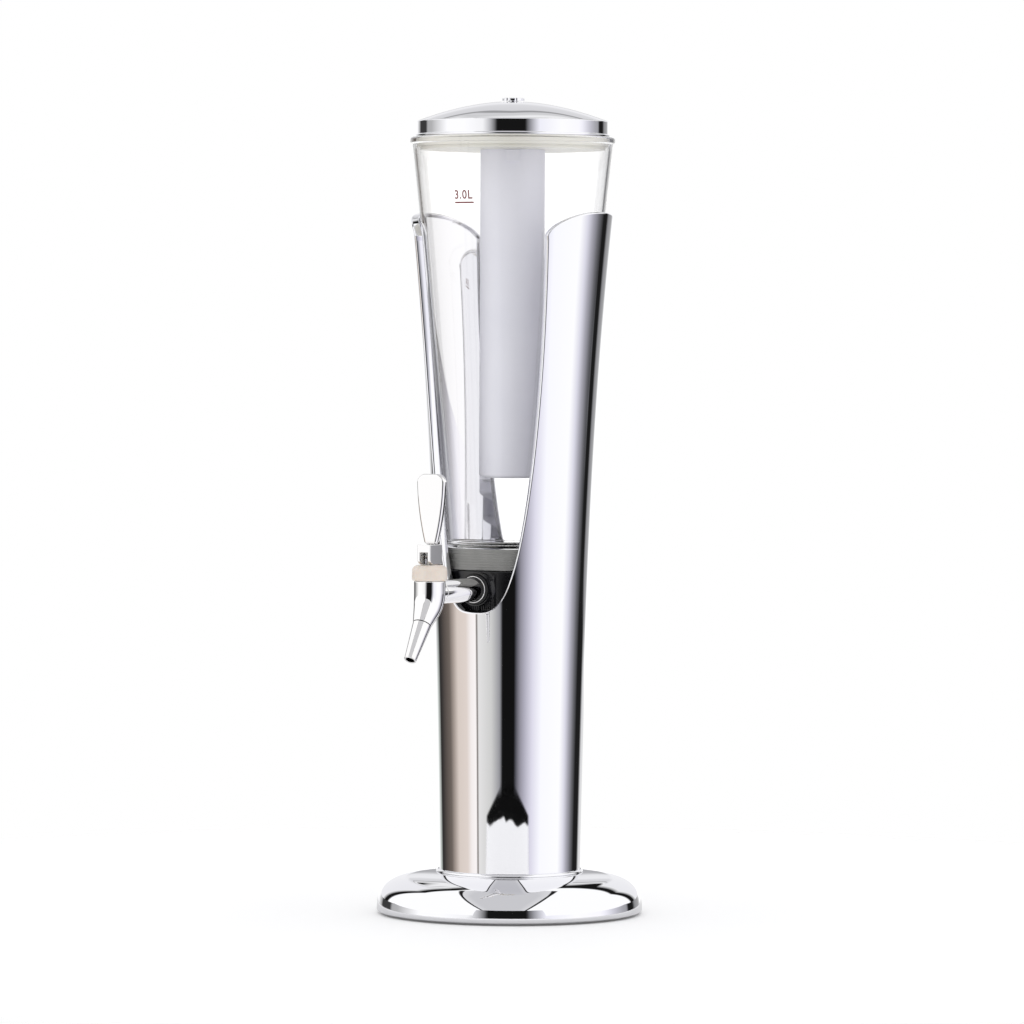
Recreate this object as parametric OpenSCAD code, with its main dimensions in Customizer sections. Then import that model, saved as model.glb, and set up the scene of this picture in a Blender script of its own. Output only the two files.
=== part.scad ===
// Drink tower with a clear tank, a mirror-bright column, an ice tube and a lever tap.
// The origin is on the floor under the centre of the base, +Z is up and the tap points to -Y.

/* [Base] */
// Widest radius of the base cover
base_r = 103; // [100:0.5:115]
// How much narrower the base cover is at its lower rim
rim_in = 2; // [1:0.5:5]
// Height of the widest place of the base above the floor
base_waist_z = 9; // [7:0.5:12]
// Height of the base cover above the floor
base_h = 33; // [31:0.5:45]
// Wall of the base cover
base_wall = 2.5; // [1.5:0.1:3]
// Height of the rubber feet that shows under the rim
foot_h = 1.5; // [1:0.1:3]
// Radius of a rubber foot
foot_r = 7; // [5:0.5:10]
// How far the outer feet stand inside the widest radius
foot_inset = 33; // [23:1:53]
// Thickness of the bottom plate
plate_t = 2.4; // [1.5:0.1:3]
// Height of the ballast ring
ballast_h = 10; // [4:0.5:12]
// Inner radius of the ballast ring
ballast_bore_r = 36; // [28:1:50]
// How far the ballast ring stays inside the widest radius
ballast_inset = 27; // [25:1:43]
// How far the base screws stand inside the widest radius
base_screw_inset = 18; // [16:0.5:19]

/* [Column] */
// Outer radius of the column at its foot
shell_foot_r = 54.5; // [53.5:0.5:57]
// How far the tops of the wings stay below the tank's rim
wing_below = 58; // [30:1:70]
// Even part of the column's growth in radius
shell_taper = 9.85; // [8:0.05:12]
// Gap between the tank and the rolled edges at the tops of the wings
wing_gap = 0.98; // [0.5:0.02:3]
// Wall of the column
shell_wall = 2.5; // [1.5:0.1:3]
// Depth of the rolled edge round the wings, from the outer face inwards
edge_depth = 6.3; // [4:0.1:6.5]
// Thickness of the rolled edge
edge_t = 2.5; // [1.5:0.1:4]
// Height of the lowest place of the front and rear cut-outs above the column's foot
cut_low_h = 201; // [198:1:203]
// Height over which a cut-out widens
cut_rise = 285; // [260:1:295]
// Widest half width of a cut-out
cut_half_w = 57.5; // [52:0.5:59]
// How much the top edge of a wing drops towards its corners
wing_drop = 22; // [12:1:30]
// Half length of the arch on top of a wing
wing_half_l = 52; // [51.5:0.5:58]
// How far the shelf's upper face lies below the lowest place of a cut-out
shelf_drop = 13; // [11:0.5:15]
// Thickness of the shelf in the column
shelf_t = 4; // [3:0.5:6]
// Height of the bead ring between the base and the column
ring_h = 3.8; // [3.6:0.1:6]
// Radius of the bead on that ring
bead_r = 1.8; // [1:0.1:1.8]
// Distance of the column screws from the centre
column_screw_ring_r = 45; // [42:0.5:46]

/* [Outlet cup] */
// Outer radius of the outlet cup
cup_r = 50; // [49:0.5:51]
// Height of the cup's body
cup_h = 41; // [40:0.5:44]
// Height of the foot under the cup
cup_foot_h = 3; // [2:0.5:6]
// Outer radius of the cup's threaded neck
neck_r = 46; // [45:0.1:46.2]
// Height of the cup's neck
neck_h = 15; // [12:0.5:18]
// Inner radius of the cup
cup_bore_r = 42; // [39:0.5:42.5]
// Thickness of the cup's floor
cup_floor_t = 5; // [3:0.5:7]
// Height of the port's axis above the bottom of the cup
port_h = 27.5; // [26.5:0.5:28]
// Radius of the port boss
port_boss_r = 12.8; // [12:0.1:12.8]
// Distance of the port boss's end from the centre
port_end_y = 58.5; // [56:0.5:62]

/* [Tank] */
// Height of the tank from its shoulder to its rim
tank_h = 316; // [300:1:330]
// Outer radius of the tank at its shoulder
tank_foot_r = 49.5; // [48.5:0.1:49.7]
// Even part of the tank's growth in radius
tank_taper = 25; // [23:0.1:25]
// Curved part of the tank's growth in radius
tank_flare = 3.6; // [2.4:0.1:4]
// Wall of the tank
tank_wall = 2.5; // [2:0.1:3]
// How far the tank's rim bead stands out
tank_lip = 1.2; // [0.6:0.1:3]
// Height of the tank's rim bead
tank_lip_h = 5; // [3:0.1:7]
// Outer radius of the threaded skirt
skirt_r = 50; // [49.8:0.1:50.5]
// Wall of the threaded skirt
skirt_wall = 2.5; // [2:0.1:2.8]

/* [Ice tube] */
// Outer radius of the ice tube
ice_r = 25; // [21:0.5:28]
// Length of the ice tube
ice_l = 263; // [200:1:275]
// Wall of the ice tube
ice_wall = 2; // [1.5:0.1:3]
// Direction of the first grip lug, from the tap towards +X, in degrees
lug_angle = 28; // [0:1:90]

/* [Lid] */
// Outer radius of the lid's band
lid_r = 74.6; // [74.4:0.1:76]
// Outer radius of the lid's lower flange
lid_flange_r = 76; // [76:0.1:78]
// Height of the lid's straight band with its flange
lid_band_h = 12; // [11:0.5:16]
// Height of the lid's dome
lid_dome_h = 15.7; // [12:0.1:24]
// Wall of the lid
lid_wall = 2; // [1.5:0.1:2.2]
// Depth of the plug below the lid
plug_depth = 9.7; // [8.5:0.1:14]
// Wall of the plug
plug_wall = 2.5; // [1.5:0.1:3]
// Radius of the vent cap
vent_r = 8.9; // [8:0.1:11]
// Height of the vent cap
vent_h = 2.2; // [1.5:0.1:5]

/* [Tap] */
// Distance of the tap's upright axis from the centre
tap_y = 130.5; // [120:0.5:150]
// Radius of the shank outside the cup
shank_r = 9.1; // [8.8:0.1:9.1]
// Radius of the tap body
tap_r = 12; // [11.6:0.1:12.8]
// Height of the tap body's straight part above the shank's axis
tap_top_h = 9; // [9:0.5:12]
// How far the spout leans forward, in degrees
spout_lean = 35; // [20:1:40]
// Length of the leaning part of the tap body
spout_body_l = 20.7; // [20:0.1:26]
// Length of the spout nozzle
nozzle_l = 31.7; // [22:0.1:40]
// Radius of the spout at the joint with the nozzle
spout_joint_r = 7.25; // [7:0.05:8.5]
// Radius of the nozzle's tip
nozzle_tip_r = 4.7; // [4.4:0.1:6]
// Radius of the bonnet collar
collar_r = 13.4; // [12.9:0.1:15]
// Height of the bonnet collar
collar_h = 12; // [11:0.1:16]

/* [Lever] */
// Height of the lever's pin above the collar
lever_pin_h = 7.5; // [6.5:0.1:8]
// How far the centre of the lever's round foot stands in front of its pin
cam_offset = 3.5; // [2:0.1:3.6]
// Width of the lever yoke across its cheeks
yoke_w = 11.5; // [11:0.1:14]
// Depth of the lever yoke from front to back
yoke_d = 18.5; // [16:0.1:19]
// Height of the lever yoke's top above the collar
yoke_h = 15.5; // [15:0.1:20]
// Length of the handle above the yoke
handle_l = 53; // [40:0.5:80]
// Width of the handle at its foot
handle_foot_w = 10.2; // [8:0.1:12]
// How much wider the handle gets towards its top
handle_grow_w = 13.9; // [8:0.1:20]
// Thickness of the handle
handle_t = 5.8; // [5:0.1:8]
// Radius of the handle's top corners
handle_corner_r = 7; // [3:0.5:8]
// How far the handle stands behind the tap's axis
handle_set_back = 3; // [0:0.1:4]

/* [Hidden] */
$fn = 96;

// Clearances: at rest between moving pieces, round a shaft, and between pieces of one body
rest_gap = 0.3;
run_gap = 0.08;
fit_gap = 0.15;
// Overrun of every cut
over = 1;
// Steps of a curved outline
curve_steps = 24;

// Base
base_round = 6.3;
rim_r = base_r - rim_in;
foot_ring_r = base_r - foot_inset;
ballast_r = base_r - ballast_inset;
base_screw_ring_r = base_r - base_screw_inset;
plate_lift = 1.1;
plate_z = foot_h + plate_lift;
plate_top_z = plate_z + plate_t;
plate_r = rim_r - base_wall - rest_gap;
seat_depth = 1.8;
seat_z = base_h - seat_depth;
web_z = seat_z - base_wall;
web_bore_r = 20;
base_rise = base_h - base_waist_z;
base_inner_rise = web_z - base_waist_z;
base_boss_r = 4.5;
base_screw_r = 2;
base_screw_l = 12;
base_head_r = 3.8;
base_head_h = 1.9;
base_screws_n = 4;
feet_n = 4;

// Column
shell_z = seat_z + ring_h;
cut_low_z = shell_z + cut_low_h;
cut_turn = 0.3;
wing_turn = 2.2;
shelf_z = cut_low_z - shelf_drop;
shell_flange_t = 3.5;
shell_flange_w = 9;
bead_seat_w = 4.5;
bead_out = 0.6;
seat_r = shell_foot_r + bead_out + bead_r + rest_gap;
column_boss_r = 4.4;
column_boss_h = 17;
column_screw_r = 2;
column_screw_l = 14;
column_head_r = 3.8;
column_head_h = 2.2;
column_screws_n = 4;

// Outlet cup
cup_z = shelf_z + cup_foot_h;
cup_top_z = cup_z + cup_h;
neck_top_z = cup_top_z + neck_h;
port_z = cup_z + port_h;
cup_foot_r = 20;
cup_corner_r = 4;
stud_r = 10;
stud_l = 20;
cup_washer_r = 17;
cup_washer_t = 1.5;
cup_nut_r = 16;
cup_nut_h = 8;
ridge_t = 1.3;
ridges_n = 4;
ridge_r = skirt_r - skirt_wall - 1.5 * rest_gap;
port_pad_y = 37;
shank_thread_r = 8.2;

// Tank
tank_seal_t = 1.4;
tank_seal_w = 2.6;
tank_ring_z = neck_top_z + tank_seal_t + 2 * rest_gap;
tank_ring_t = 2.5;
tank_floor_z = tank_ring_z + tank_ring_t;
tank_shoulder_t = 1;
lip_steps = 10;
tank_z = tank_ring_z + tank_shoulder_t;
tank_top_z = tank_z + tank_h;
skirt_z = cup_top_z + 2 * rest_gap;

// Wings of the column
wing_top_z = tank_top_z - wing_below;
shell_h = wing_top_z - shell_z;
shell_flare = tank_r(wing_top_z) + wing_gap + edge_depth - shell_foot_r - shell_taper;

// Lid and plug
lid_z = tank_top_z + rest_gap;
lid_flange_h = 1.7;
lid_top_z = lid_z + lid_band_h;
lid_curve = 1.85;
lid_apex_z = lid_top_z + lid_dome_h;
plug_z = lid_z - plug_depth;
lid_seal_w = 2.5;
lid_seal_h = 5;
lid_seal_z = plug_z + plug_wall;
plug_r = tank_r(plug_z) - tank_wall - rest_gap - lid_seal_w - fit_gap;
plug_top_z = lid_top_z - lid_wall - fit_gap;
snap_h = 2.4;
snap_r = lid_r - lid_wall - fit_gap;
air_hole_r = 2;
air_hole_ring_r = 50;
air_holes_n = 4;
vent_stem_r = 3.5;
vent_hole_r = vent_stem_r + run_gap;
vent_z = lid_apex_z + rest_gap;
vent_stem_l = 6;
vent_flutes_n = 8;
vent_flute_r = 1.6;
vent_clip_r = 6.5;
vent_clip_t = 1.4;
vent_clip_z = lid_apex_z - lid_wall - rest_gap - vent_clip_t;
vent_groove_t = 0.5;

// Ice tube
hub_wall = 2.5;
hub_bore_r = ice_r + rest_gap;
ice_top_z = lid_z;
ice_z = ice_top_z - ice_l;
ice_corner_r = 3;
hub_top_z = ice_top_z + rest_gap + plug_wall;
lug_w = 11;
lug_h = 9;
lug_t = 3;
lugs_n = 2;
peg_r = 1.4;
peg_out = 1.4;
peg_drop = 3.6;
peg_z = ice_top_z - peg_drop;
twist_a = 40;
slot_margin_a = 6;
slot_entry_a = 5;
slot_entry_out = 0.1;
slot_half_h = peg_r + rest_gap;
tube_seal_w = 1;
tube_seal_t = 1.6;
tube_seal_z = plug_z + fit_gap;

// Tap
shank_flange_r = 10.3;
shank_flange_t = 1.5;
gasket_t = 2;
gasket_r = 11.6;
shank_washer_t = 1.2;
shank_washer_r = 12;
shank_nut_h = 6;
shank_nut_r = 12.4;
shank_bore_r = 4.5;
shank_spigot_r = 7.4;
shank_end_l = 1.5;
tap_boss_r = 8.7;
tap_boss_out = 1.5;
gasket_y = port_end_y;
flange_y = gasket_y + gasket_t;
tap_boss_y = tap_y - tap_r - tap_boss_out;
chamber_r = 8.5;
socket_inner_r = 6.6;
spigot_clear_r = 9.4;
bend_drop = 6.5;
bend_z = port_z - bend_drop;
valve_floor_drop = 4.5;
valve_floor_z = port_z - valve_floor_drop;
valve_bore_r = 4.6;
spout_bore_r = 4.2;
tap_top_z = port_z + tap_top_h;
tap_neck_r = 10.4;
tap_neck_h = 3.5;
nozzle_bore_r = 3.4;
nozzle_spigot_r = 5.2;
nozzle_spigot_l = 6;
nozzle_seal_t = 0.6;
nozzle_seal_in = 0.5;

// Bonnet, stem, valve and spring
collar_z = tap_top_z + fit_gap;
collar_top_z = collar_z + collar_h;
collar_bore_r = tap_neck_r + fit_gap;
collar_hole_r = 3.2;
collar_round_r = 3.5;
bush_z = tap_top_z + tap_neck_h + fit_gap;
bush_flange_t = 2.8;
bush_flange_r = 10.2;
bush_spigot_l = 3.2;
bush_top_z = bush_z + bush_flange_t;
bush_low_z = bush_z - bush_spigot_l;
stem_r = 2.5;
stem_seal_t = 1.6;
stem_seal_r = 4.4;
valve_seal_t = 2.8;
valve_seal_r = 6.4;
valve_seal_z = valve_floor_z + rest_gap;
stem_head_r = 3.6;
stem_head_h = 2;
stem_foot_r = 6;
stem_foot_h = 1.7;
stem_foot_z = valve_seal_z + valve_seal_t + fit_gap;
spring_r = 4.6;
spring_wire_r = 0.5;
spring_turns = 4;
spring_sides = 6;
spring_rings = 8;
spring_z = stem_foot_z + stem_foot_h + fit_gap;
spring_top_z = bush_low_z - fit_gap;

// Lever and handle
pin_r = 1.5;
pin_z = collar_top_z + lever_pin_h;
cam_r = lever_pin_h - rest_gap;
eye_w = 5.8;
eye_r = 3;
yoke_cap_t = 6;
yoke_top_z = collar_top_z + yoke_h;
slot_w = eye_w + 2 * rest_gap;
stud_thread_r = 1.6;
stud_in_yoke_l = 3;
stud_in_handle_l = 11;
handle_z = yoke_top_z + fit_gap;
handle_steps = 12;
corner_steps = 8;

// Outlines that follow a rule
function tank_r(z) = let (u = (z - tank_z) / tank_h)
    tank_foot_r + tank_taper * u + tank_flare * pow(u, 3);
function shell_r(z) = let (u = (z - shell_z) / shell_h)
    shell_foot_r + shell_taper * u + shell_flare * pow(u, 3);
function lid_dome_z(r, edge) = lid_dome_h * (1 - pow(r / edge, lid_curve));
function base_rise_at(r, edge, rise) = rise * sqrt(1 - pow(r / edge, base_round));
function rings(low, high) = [for (i = [0:curve_steps]) low + (high - low) * i / curve_steps];
function reversed(list) = [for (i = [len(list) - 1:-1:0]) list[i]];
function arc(x, y, r, from, to, steps = 6) =
    [for (i = [0:steps]) let (a = from + (to - from) * i / steps) [x + r * cos(a), y + r * sin(a)]];
function quarter_curve(edge, rise, inner_r) =
    [for (i = [0:curve_steps])
        let (r = edge * pow(cos(acos(pow(inner_r / edge, base_round / 2)) * i / curve_steps), 2 / base_round))
        [r, base_waist_z + base_rise_at(min(r, edge), edge, rise)]];

module ring(outer, inner, h) {
    difference() {
        cylinder(r = outer, h = h);
        translate([0, 0, -over]) cylinder(r = inner, h = h + 2 * over);
    }
}

module along_y(r, from, to) {
    translate([0, -from, port_z]) rotate([90, 0, 0]) cylinder(r = r, h = to - from);
}

module ring_along_y(outer, inner, from, to) {
    difference() {
        along_y(outer, from, to);
        along_y(inner, from - over, to + over);
    }
}

module around(n, r, turn = 0) {
    for (i = [0:n - 1]) rotate([0, 0, turn + i * 360 / n]) translate([r, 0, 0]) children();
}

module at_tap(z) {
    translate([0, -tap_y, z]) children();
}

module at_spout(l) {
    at_tap(bend_z) rotate([180 - spout_lean, 0, 0]) translate([0, 0, l]) children();
}

// Base pieces

module base_cover() {
    inner_edge = base_r - base_wall;
    outline = concat(
        [[rim_r, foot_h]],
        quarter_curve(base_r, base_rise, seat_r),
        [[seat_r, seat_z], [web_bore_r, seat_z], [web_bore_r, web_z], [seat_r, web_z]],
        reversed(quarter_curve(inner_edge, base_inner_rise, seat_r)),
        [[rim_r - base_wall, foot_h]]);
    boss_edge = base_screw_ring_r + base_boss_r;
    outer_rise = base_rise_at(boss_edge, base_r, base_rise);
    inner_rise = base_rise_at(boss_edge, inner_edge, base_inner_rise);
    boss_top_z = base_waist_z + (outer_rise + inner_rise) / 2;
    color("silver") difference() {
        union() {
            rotate_extrude() polygon(outline);
            around(base_screws_n, base_screw_ring_r, 45) translate([0, 0, plate_top_z + fit_gap])
                cylinder(r = base_boss_r, h = boss_top_z - plate_top_z - fit_gap);
        }
        around(base_screws_n, base_screw_ring_r, 45) translate([0, 0, plate_top_z - over])
            cylinder(r = base_screw_r + run_gap, h = base_screw_l + over);
        around(column_screws_n, column_screw_ring_r, 45) translate([0, 0, web_z - over])
            cylinder(r = column_screw_r + fit_gap, h = base_wall + 2 * over);
    }
}

module base_plate() {
    color("dimgray") difference() {
        translate([0, 0, plate_z]) cylinder(r = plate_r, h = plate_t);
        around(base_screws_n, base_screw_ring_r, 45) translate([0, 0, plate_z - over])
            cylinder(r = base_screw_r + fit_gap, h = plate_t + 2 * over);
    }
}

module ballast_ring() {
    color("slategray") translate([0, 0, plate_top_z + fit_gap]) ring(ballast_r, ballast_bore_r, ballast_h);
}

module screw(thread_r, thread_l, head_r, head_h) {
    translate([0, 0, -head_h]) cylinder(r = head_r, h = head_h);
    cylinder(r = thread_r, h = thread_l);
}

module base_screws() {
    color("gainsboro") around(base_screws_n, base_screw_ring_r, 45) translate([0, 0, plate_z])
        screw(base_screw_r, base_screw_l, base_head_r, base_head_h - plate_lift);
}

module rubber_feet() {
    color("black") {
        cylinder(r = foot_r, h = plate_z);
        around(feet_n, foot_ring_r) cylinder(r = foot_r, h = plate_z);
    }
}

// Column pieces

module column_ring() {
    color("silver") translate([0, 0, seat_z]) rotate_extrude() union() {
        translate([shell_foot_r - bead_seat_w, 0]) square([bead_seat_w, ring_h]);
        translate([shell_foot_r + bead_out, ring_h / 2]) circle(r = bead_r);
    }
}

// Half width of a cut-out at a share of its spread, its height there and the slope of its edge
function cut_point(s, grow) =
    let (h = cut_rise * pow(s, 1 / cut_turn),
         slope = cut_rise / cut_half_w / cut_turn * pow(s, 1 / cut_turn - 1),
         n = sqrt(1 + slope * slope))
    [cut_half_w * s + grow * slope / n, cut_low_z + h - grow / n];

module cut_outline(grow) {
    right = [for (i = [0:curve_steps]) cut_point(i / curve_steps, grow)];
    top = [right[curve_steps][0], wing_top_z + shell_h];
    left = [for (p = reversed(right)) if (p[0] > 0) [-p[0], p[1]]];
    polygon(concat(right, [top, [-top[0], top[1]]], left));
}

module cut_prism(grow) {
    translate([0, shell_h / 2, 0]) rotate([90, 0, 0]) linear_extrude(shell_h) cut_outline(grow);
}

// The space above the arch on top of a wing, seen from the side
module arch_outline(grow) {
    a = wing_half_l + grow;
    low = wing_top_z - wing_drop;
    edge = [for (i = [-curve_steps:curve_steps])
        let (angle = 90 * i / curve_steps)
        [a * sign(angle) * pow(abs(sin(angle)), 2 / wing_turn),
         low - grow + wing_drop * pow(cos(angle), 2 / wing_turn)]];
    polygon(concat(edge, [[shell_h, low - grow], [shell_h, wing_top_z + shell_h],
        [-shell_h, wing_top_z + shell_h], [-shell_h, low - grow]]));
}

module arch_prism(grow) {
    translate([-shell_h / 2, 0, 0]) rotate([90, 0, 90]) linear_extrude(shell_h) arch_outline(grow);
}

module shell_layer(depth) {
    levels = rings(shell_z, wing_top_z);
    rotate_extrude() polygon(concat(
        [for (z = levels) [shell_r(z), z]],
        [for (z = reversed(levels)) [shell_r(z) - depth, z]]));
}

module column_shell() {
    color("silver") difference() {
        union() {
            difference() {
                union() {
                    shell_layer(shell_wall);
                    intersection() {
                        shell_layer(edge_depth);
                        union() {
                            cut_prism(edge_t);
                            arch_prism(edge_t);
                        }
                    }
                }
                cut_prism(0);
                arch_prism(0);
            }
            translate([0, 0, shelf_z - shelf_t])
                cylinder(r = shell_r(shelf_z) - shell_wall / 2, h = shelf_t);
            translate([0, 0, shell_z])
                ring(
                    shell_foot_r - shell_wall / 2,
                    shell_foot_r - shell_wall - shell_flange_w,
                    shell_flange_t
                );
            around(column_screws_n, column_screw_ring_r, 45) translate([0, 0, seat_z])
                cylinder(r = column_boss_r, h = column_boss_h);
        }
        translate([0, 0, shelf_z - shelf_t - over])
            cylinder(r = stud_r + fit_gap, h = shelf_t + 2 * over);
        around(column_screws_n, column_screw_ring_r, 45) translate([0, 0, seat_z - over])
            cylinder(r = column_screw_r + run_gap, h = column_screw_l + over);
    }
}

module column_screws() {
    color("gainsboro") around(column_screws_n, column_screw_ring_r, 45) translate([0, 0, web_z])
        screw(column_screw_r, column_screw_l, column_head_r, column_head_h);
}

// Outlet cup and its fastening

module outlet_cup() {
    color([0.08, 0.08, 0.09]) difference() {
        union() {
            rotate_extrude() polygon(concat(
                [[0, cup_z]],
                arc(cup_r - cup_corner_r, cup_z + cup_corner_r, cup_corner_r, -90, 0),
                [[cup_r, cup_top_z], [neck_r, cup_top_z], [neck_r, neck_top_z], [cup_bore_r, neck_top_z],
                    [cup_bore_r, cup_z + cup_floor_t], [0, cup_z + cup_floor_t]]));
            for (i = [0:ridges_n - 1])
                translate([0, 0, cup_top_z + (i + 0.5) * neck_h / ridges_n])
                    ring(ridge_r, neck_r - over, ridge_t);
            translate([0, 0, shelf_z]) cylinder(r = cup_foot_r, h = cup_foot_h + cup_floor_t / 2);
            translate([0, 0, shelf_z - stud_l]) cylinder(r = stud_r, h = stud_l + cup_foot_h);
            along_y(port_boss_r, port_pad_y, port_end_y);
        }
        along_y(shank_thread_r + run_gap, port_pad_y - over, port_end_y + over);
    }
}

module cup_washer() {
    color("gray") translate([0, 0, shelf_z - shelf_t - cup_washer_t])
        ring(cup_washer_r, stud_r + fit_gap, cup_washer_t);
}

module cup_nut() {
    color("dimgray") translate([0, 0, shelf_z - shelf_t - cup_washer_t - cup_nut_h]) difference() {
        cylinder(r = cup_nut_r, h = cup_nut_h, $fn = 6);
        translate([0, 0, -over]) cylinder(r = stud_r + run_gap, h = cup_nut_h + 2 * over);
    }
}

// Tank and its seal

module tank_seal() {
    mid_r = (neck_r + cup_bore_r) / 2;
    color("white") translate([0, 0, neck_top_z + rest_gap])
        ring(mid_r + tank_seal_w / 2, mid_r - tank_seal_w / 2, tank_seal_t);
}

module tank() {
    levels = rings(tank_z, tank_top_z);
    skirt_bore_r = skirt_r - skirt_wall;
    lip_r = tank_r(tank_top_z) + tank_lip;
    lip_round = tank_lip_h / 2;
    color([0.9, 0.95, 1, 0.35]) union() {
        rotate_extrude() polygon(concat(
            [[skirt_bore_r, skirt_z], [skirt_r, skirt_z], [skirt_r, tank_ring_z], [tank_foot_r, tank_z]],
            [for (z = levels) if (z > tank_z) [tank_r(z), z]],
            [for (z = reversed(levels)) if (z > tank_floor_z) [tank_r(z) - tank_wall, z]],
            [[tank_r(tank_floor_z) - tank_wall, tank_floor_z],
                [cup_bore_r, tank_floor_z], [cup_bore_r, tank_ring_z], [skirt_bore_r, tank_ring_z]]));
        translate([0, 0, tank_top_z - tank_lip_h]) rotate_extrude() polygon(concat(
            [[tank_r(tank_top_z) - tank_wall, 0]],
            arc(lip_r - lip_round, lip_round, lip_round, -90, 90, lip_steps),
            [[tank_r(tank_top_z) - tank_wall, tank_lip_h]]));
    }
}

// Tap pieces on the shank

module tap_shank() {
    thread_from = port_pad_y - shank_washer_t - shank_nut_h - shank_end_l;
    color("silver") difference() {
        union() {
            along_y(shank_thread_r, thread_from, flange_y + shank_flange_t);
            along_y(shank_flange_r, flange_y, flange_y + shank_flange_t);
            along_y(shank_r, flange_y, tap_boss_y);
            along_y(shank_spigot_r, tap_boss_y - over, tap_y - spigot_clear_r);
        }
        along_y(shank_bore_r, thread_from - over, tap_y - spigot_clear_r + over);
    }
}

module shank_gasket() {
    color("black") ring_along_y(gasket_r, shank_thread_r + fit_gap, gasket_y, flange_y);
}

module shank_washer() {
    color("gray")
        ring_along_y(shank_washer_r, shank_thread_r + fit_gap, port_pad_y - shank_washer_t, port_pad_y);
}

module shank_nut() {
    nut_y = port_pad_y - shank_washer_t;
    color("gainsboro") difference() {
        translate([0, shank_nut_h - nut_y, port_z]) rotate([90, 0, 0])
            cylinder(r = shank_nut_r, h = shank_nut_h, $fn = 6);
        along_y(shank_thread_r + run_gap, nut_y - shank_nut_h - over, nut_y + over);
    }
}

module tap_body() {
    color("silver") difference() {
        union() {
            at_tap(bend_z) cylinder(r = tap_r, h = tap_top_z - bend_z);
            at_tap(bend_z) sphere(r = tap_r);
            at_tap(tap_top_z - over) cylinder(r = tap_neck_r, h = tap_neck_h + over);
            at_spout(0) cylinder(r1 = tap_r, r2 = spout_joint_r, h = spout_body_l);
            along_y(tap_boss_r, tap_boss_y, tap_y);
        }
        at_tap(valve_floor_z) cylinder(r = chamber_r, h = tap_top_z);
        at_tap(bend_z - spout_bore_r) cylinder(r = valve_bore_r, h = bend_drop + over);
        at_spout(0) cylinder(r = spout_bore_r, h = spout_body_l + over);
        at_spout(spout_body_l - nozzle_spigot_l - fit_gap)
            cylinder(r = nozzle_spigot_r + run_gap, h = nozzle_spigot_l + 2 * over);
        along_y(shank_spigot_r + run_gap, tap_boss_y - over, tap_y - socket_inner_r);
    }
}

module nozzle_seal() {
    color("black") at_spout(spout_body_l)
        ring(spout_joint_r - nozzle_seal_in, nozzle_spigot_r + fit_gap, nozzle_seal_t);
}

module spout_nozzle() {
    color("silver") at_spout(spout_body_l + nozzle_seal_t) difference() {
        union() {
            cylinder(r1 = spout_joint_r, r2 = nozzle_tip_r, h = nozzle_l - nozzle_seal_t);
            translate([0, 0, -nozzle_spigot_l]) cylinder(r = nozzle_spigot_r, h = nozzle_spigot_l + over);
        }
        translate([0, 0, -nozzle_spigot_l - over])
            cylinder(r = nozzle_bore_r, h = nozzle_l + nozzle_spigot_l + 2 * over);
    }
}

module bonnet_collar() {
    bore_h = bush_top_z + fit_gap - collar_z;
    round_in = collar_r - collar_round_r;
    color("wheat") at_tap(collar_z) difference() {
        rotate_extrude() polygon(concat(
            [[0, 0]],
            arc(round_in, collar_round_r, collar_round_r, -90, 0),
            arc(round_in, collar_h - collar_round_r, collar_round_r, 0, 90),
            [[0, collar_h]]));
        translate([0, 0, -over]) cylinder(r = collar_bore_r, h = bore_h + over);
        cylinder(r = collar_hole_r, h = collar_h + over);
    }
}

module bonnet_bush() {
    color("goldenrod") at_tap(bush_low_z) difference() {
        union() {
            cylinder(r = chamber_r - fit_gap, h = bush_spigot_l + bush_flange_t / 2);
            translate([0, 0, bush_spigot_l]) cylinder(r = bush_flange_r, h = bush_flange_t);
        }
        translate([0, 0, -over]) cylinder(r = stem_r + run_gap, h = bush_spigot_l + bush_flange_t + 2 * over);
        translate([0, 0, bush_spigot_l + bush_flange_t - stem_seal_t - fit_gap])
            cylinder(r = stem_seal_r + fit_gap, h = stem_seal_t + fit_gap + over);
    }
}

module stem_seal() {
    color("black") at_tap(bush_top_z - stem_seal_t) ring(stem_seal_r, stem_r + run_gap, stem_seal_t);
}

// Valve

module valve_stem() {
    color("gainsboro") difference() {
        union() {
            at_tap(valve_seal_z - fit_gap) cylinder(r = stem_r, h = pin_z - valve_seal_z + fit_gap);
            at_tap(valve_seal_z - fit_gap - stem_head_h) cylinder(r = stem_head_r, h = stem_head_h);
            at_tap(stem_foot_z) cylinder(r = stem_foot_r, h = stem_foot_h);
            at_tap(pin_z) rotate([0, 90, 0]) cylinder(r = eye_r, h = eye_w, center = true);
        }
        at_tap(pin_z) rotate([0, 90, 0]) cylinder(r = pin_r + run_gap, h = eye_w + 2 * over, center = true);
    }
}

module valve_seal() {
    color("white") at_tap(valve_seal_z) ring(valve_seal_r, stem_r + run_gap, valve_seal_t);
}

// A round wire wound as one tube, its faces turned outwards
function coil_ring(i, low, rise) =
    let (a = 360 * i / spring_rings,
         k = rise / spring_turns / (2 * PI * spring_r),
         n = sqrt(1 + k * k),
         out = [cos(a), sin(a), 0],
         down = [-k * sin(a), k * cos(a), -1] / n,
         centre = [spring_r * cos(a), spring_r * sin(a), low + rise * i / (spring_rings * spring_turns)])
    [for (j = [0:spring_sides - 1]) let (b = 360 * j / spring_sides)
        centre + spring_wire_r * (out * cos(b) + down * sin(b))];

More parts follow.
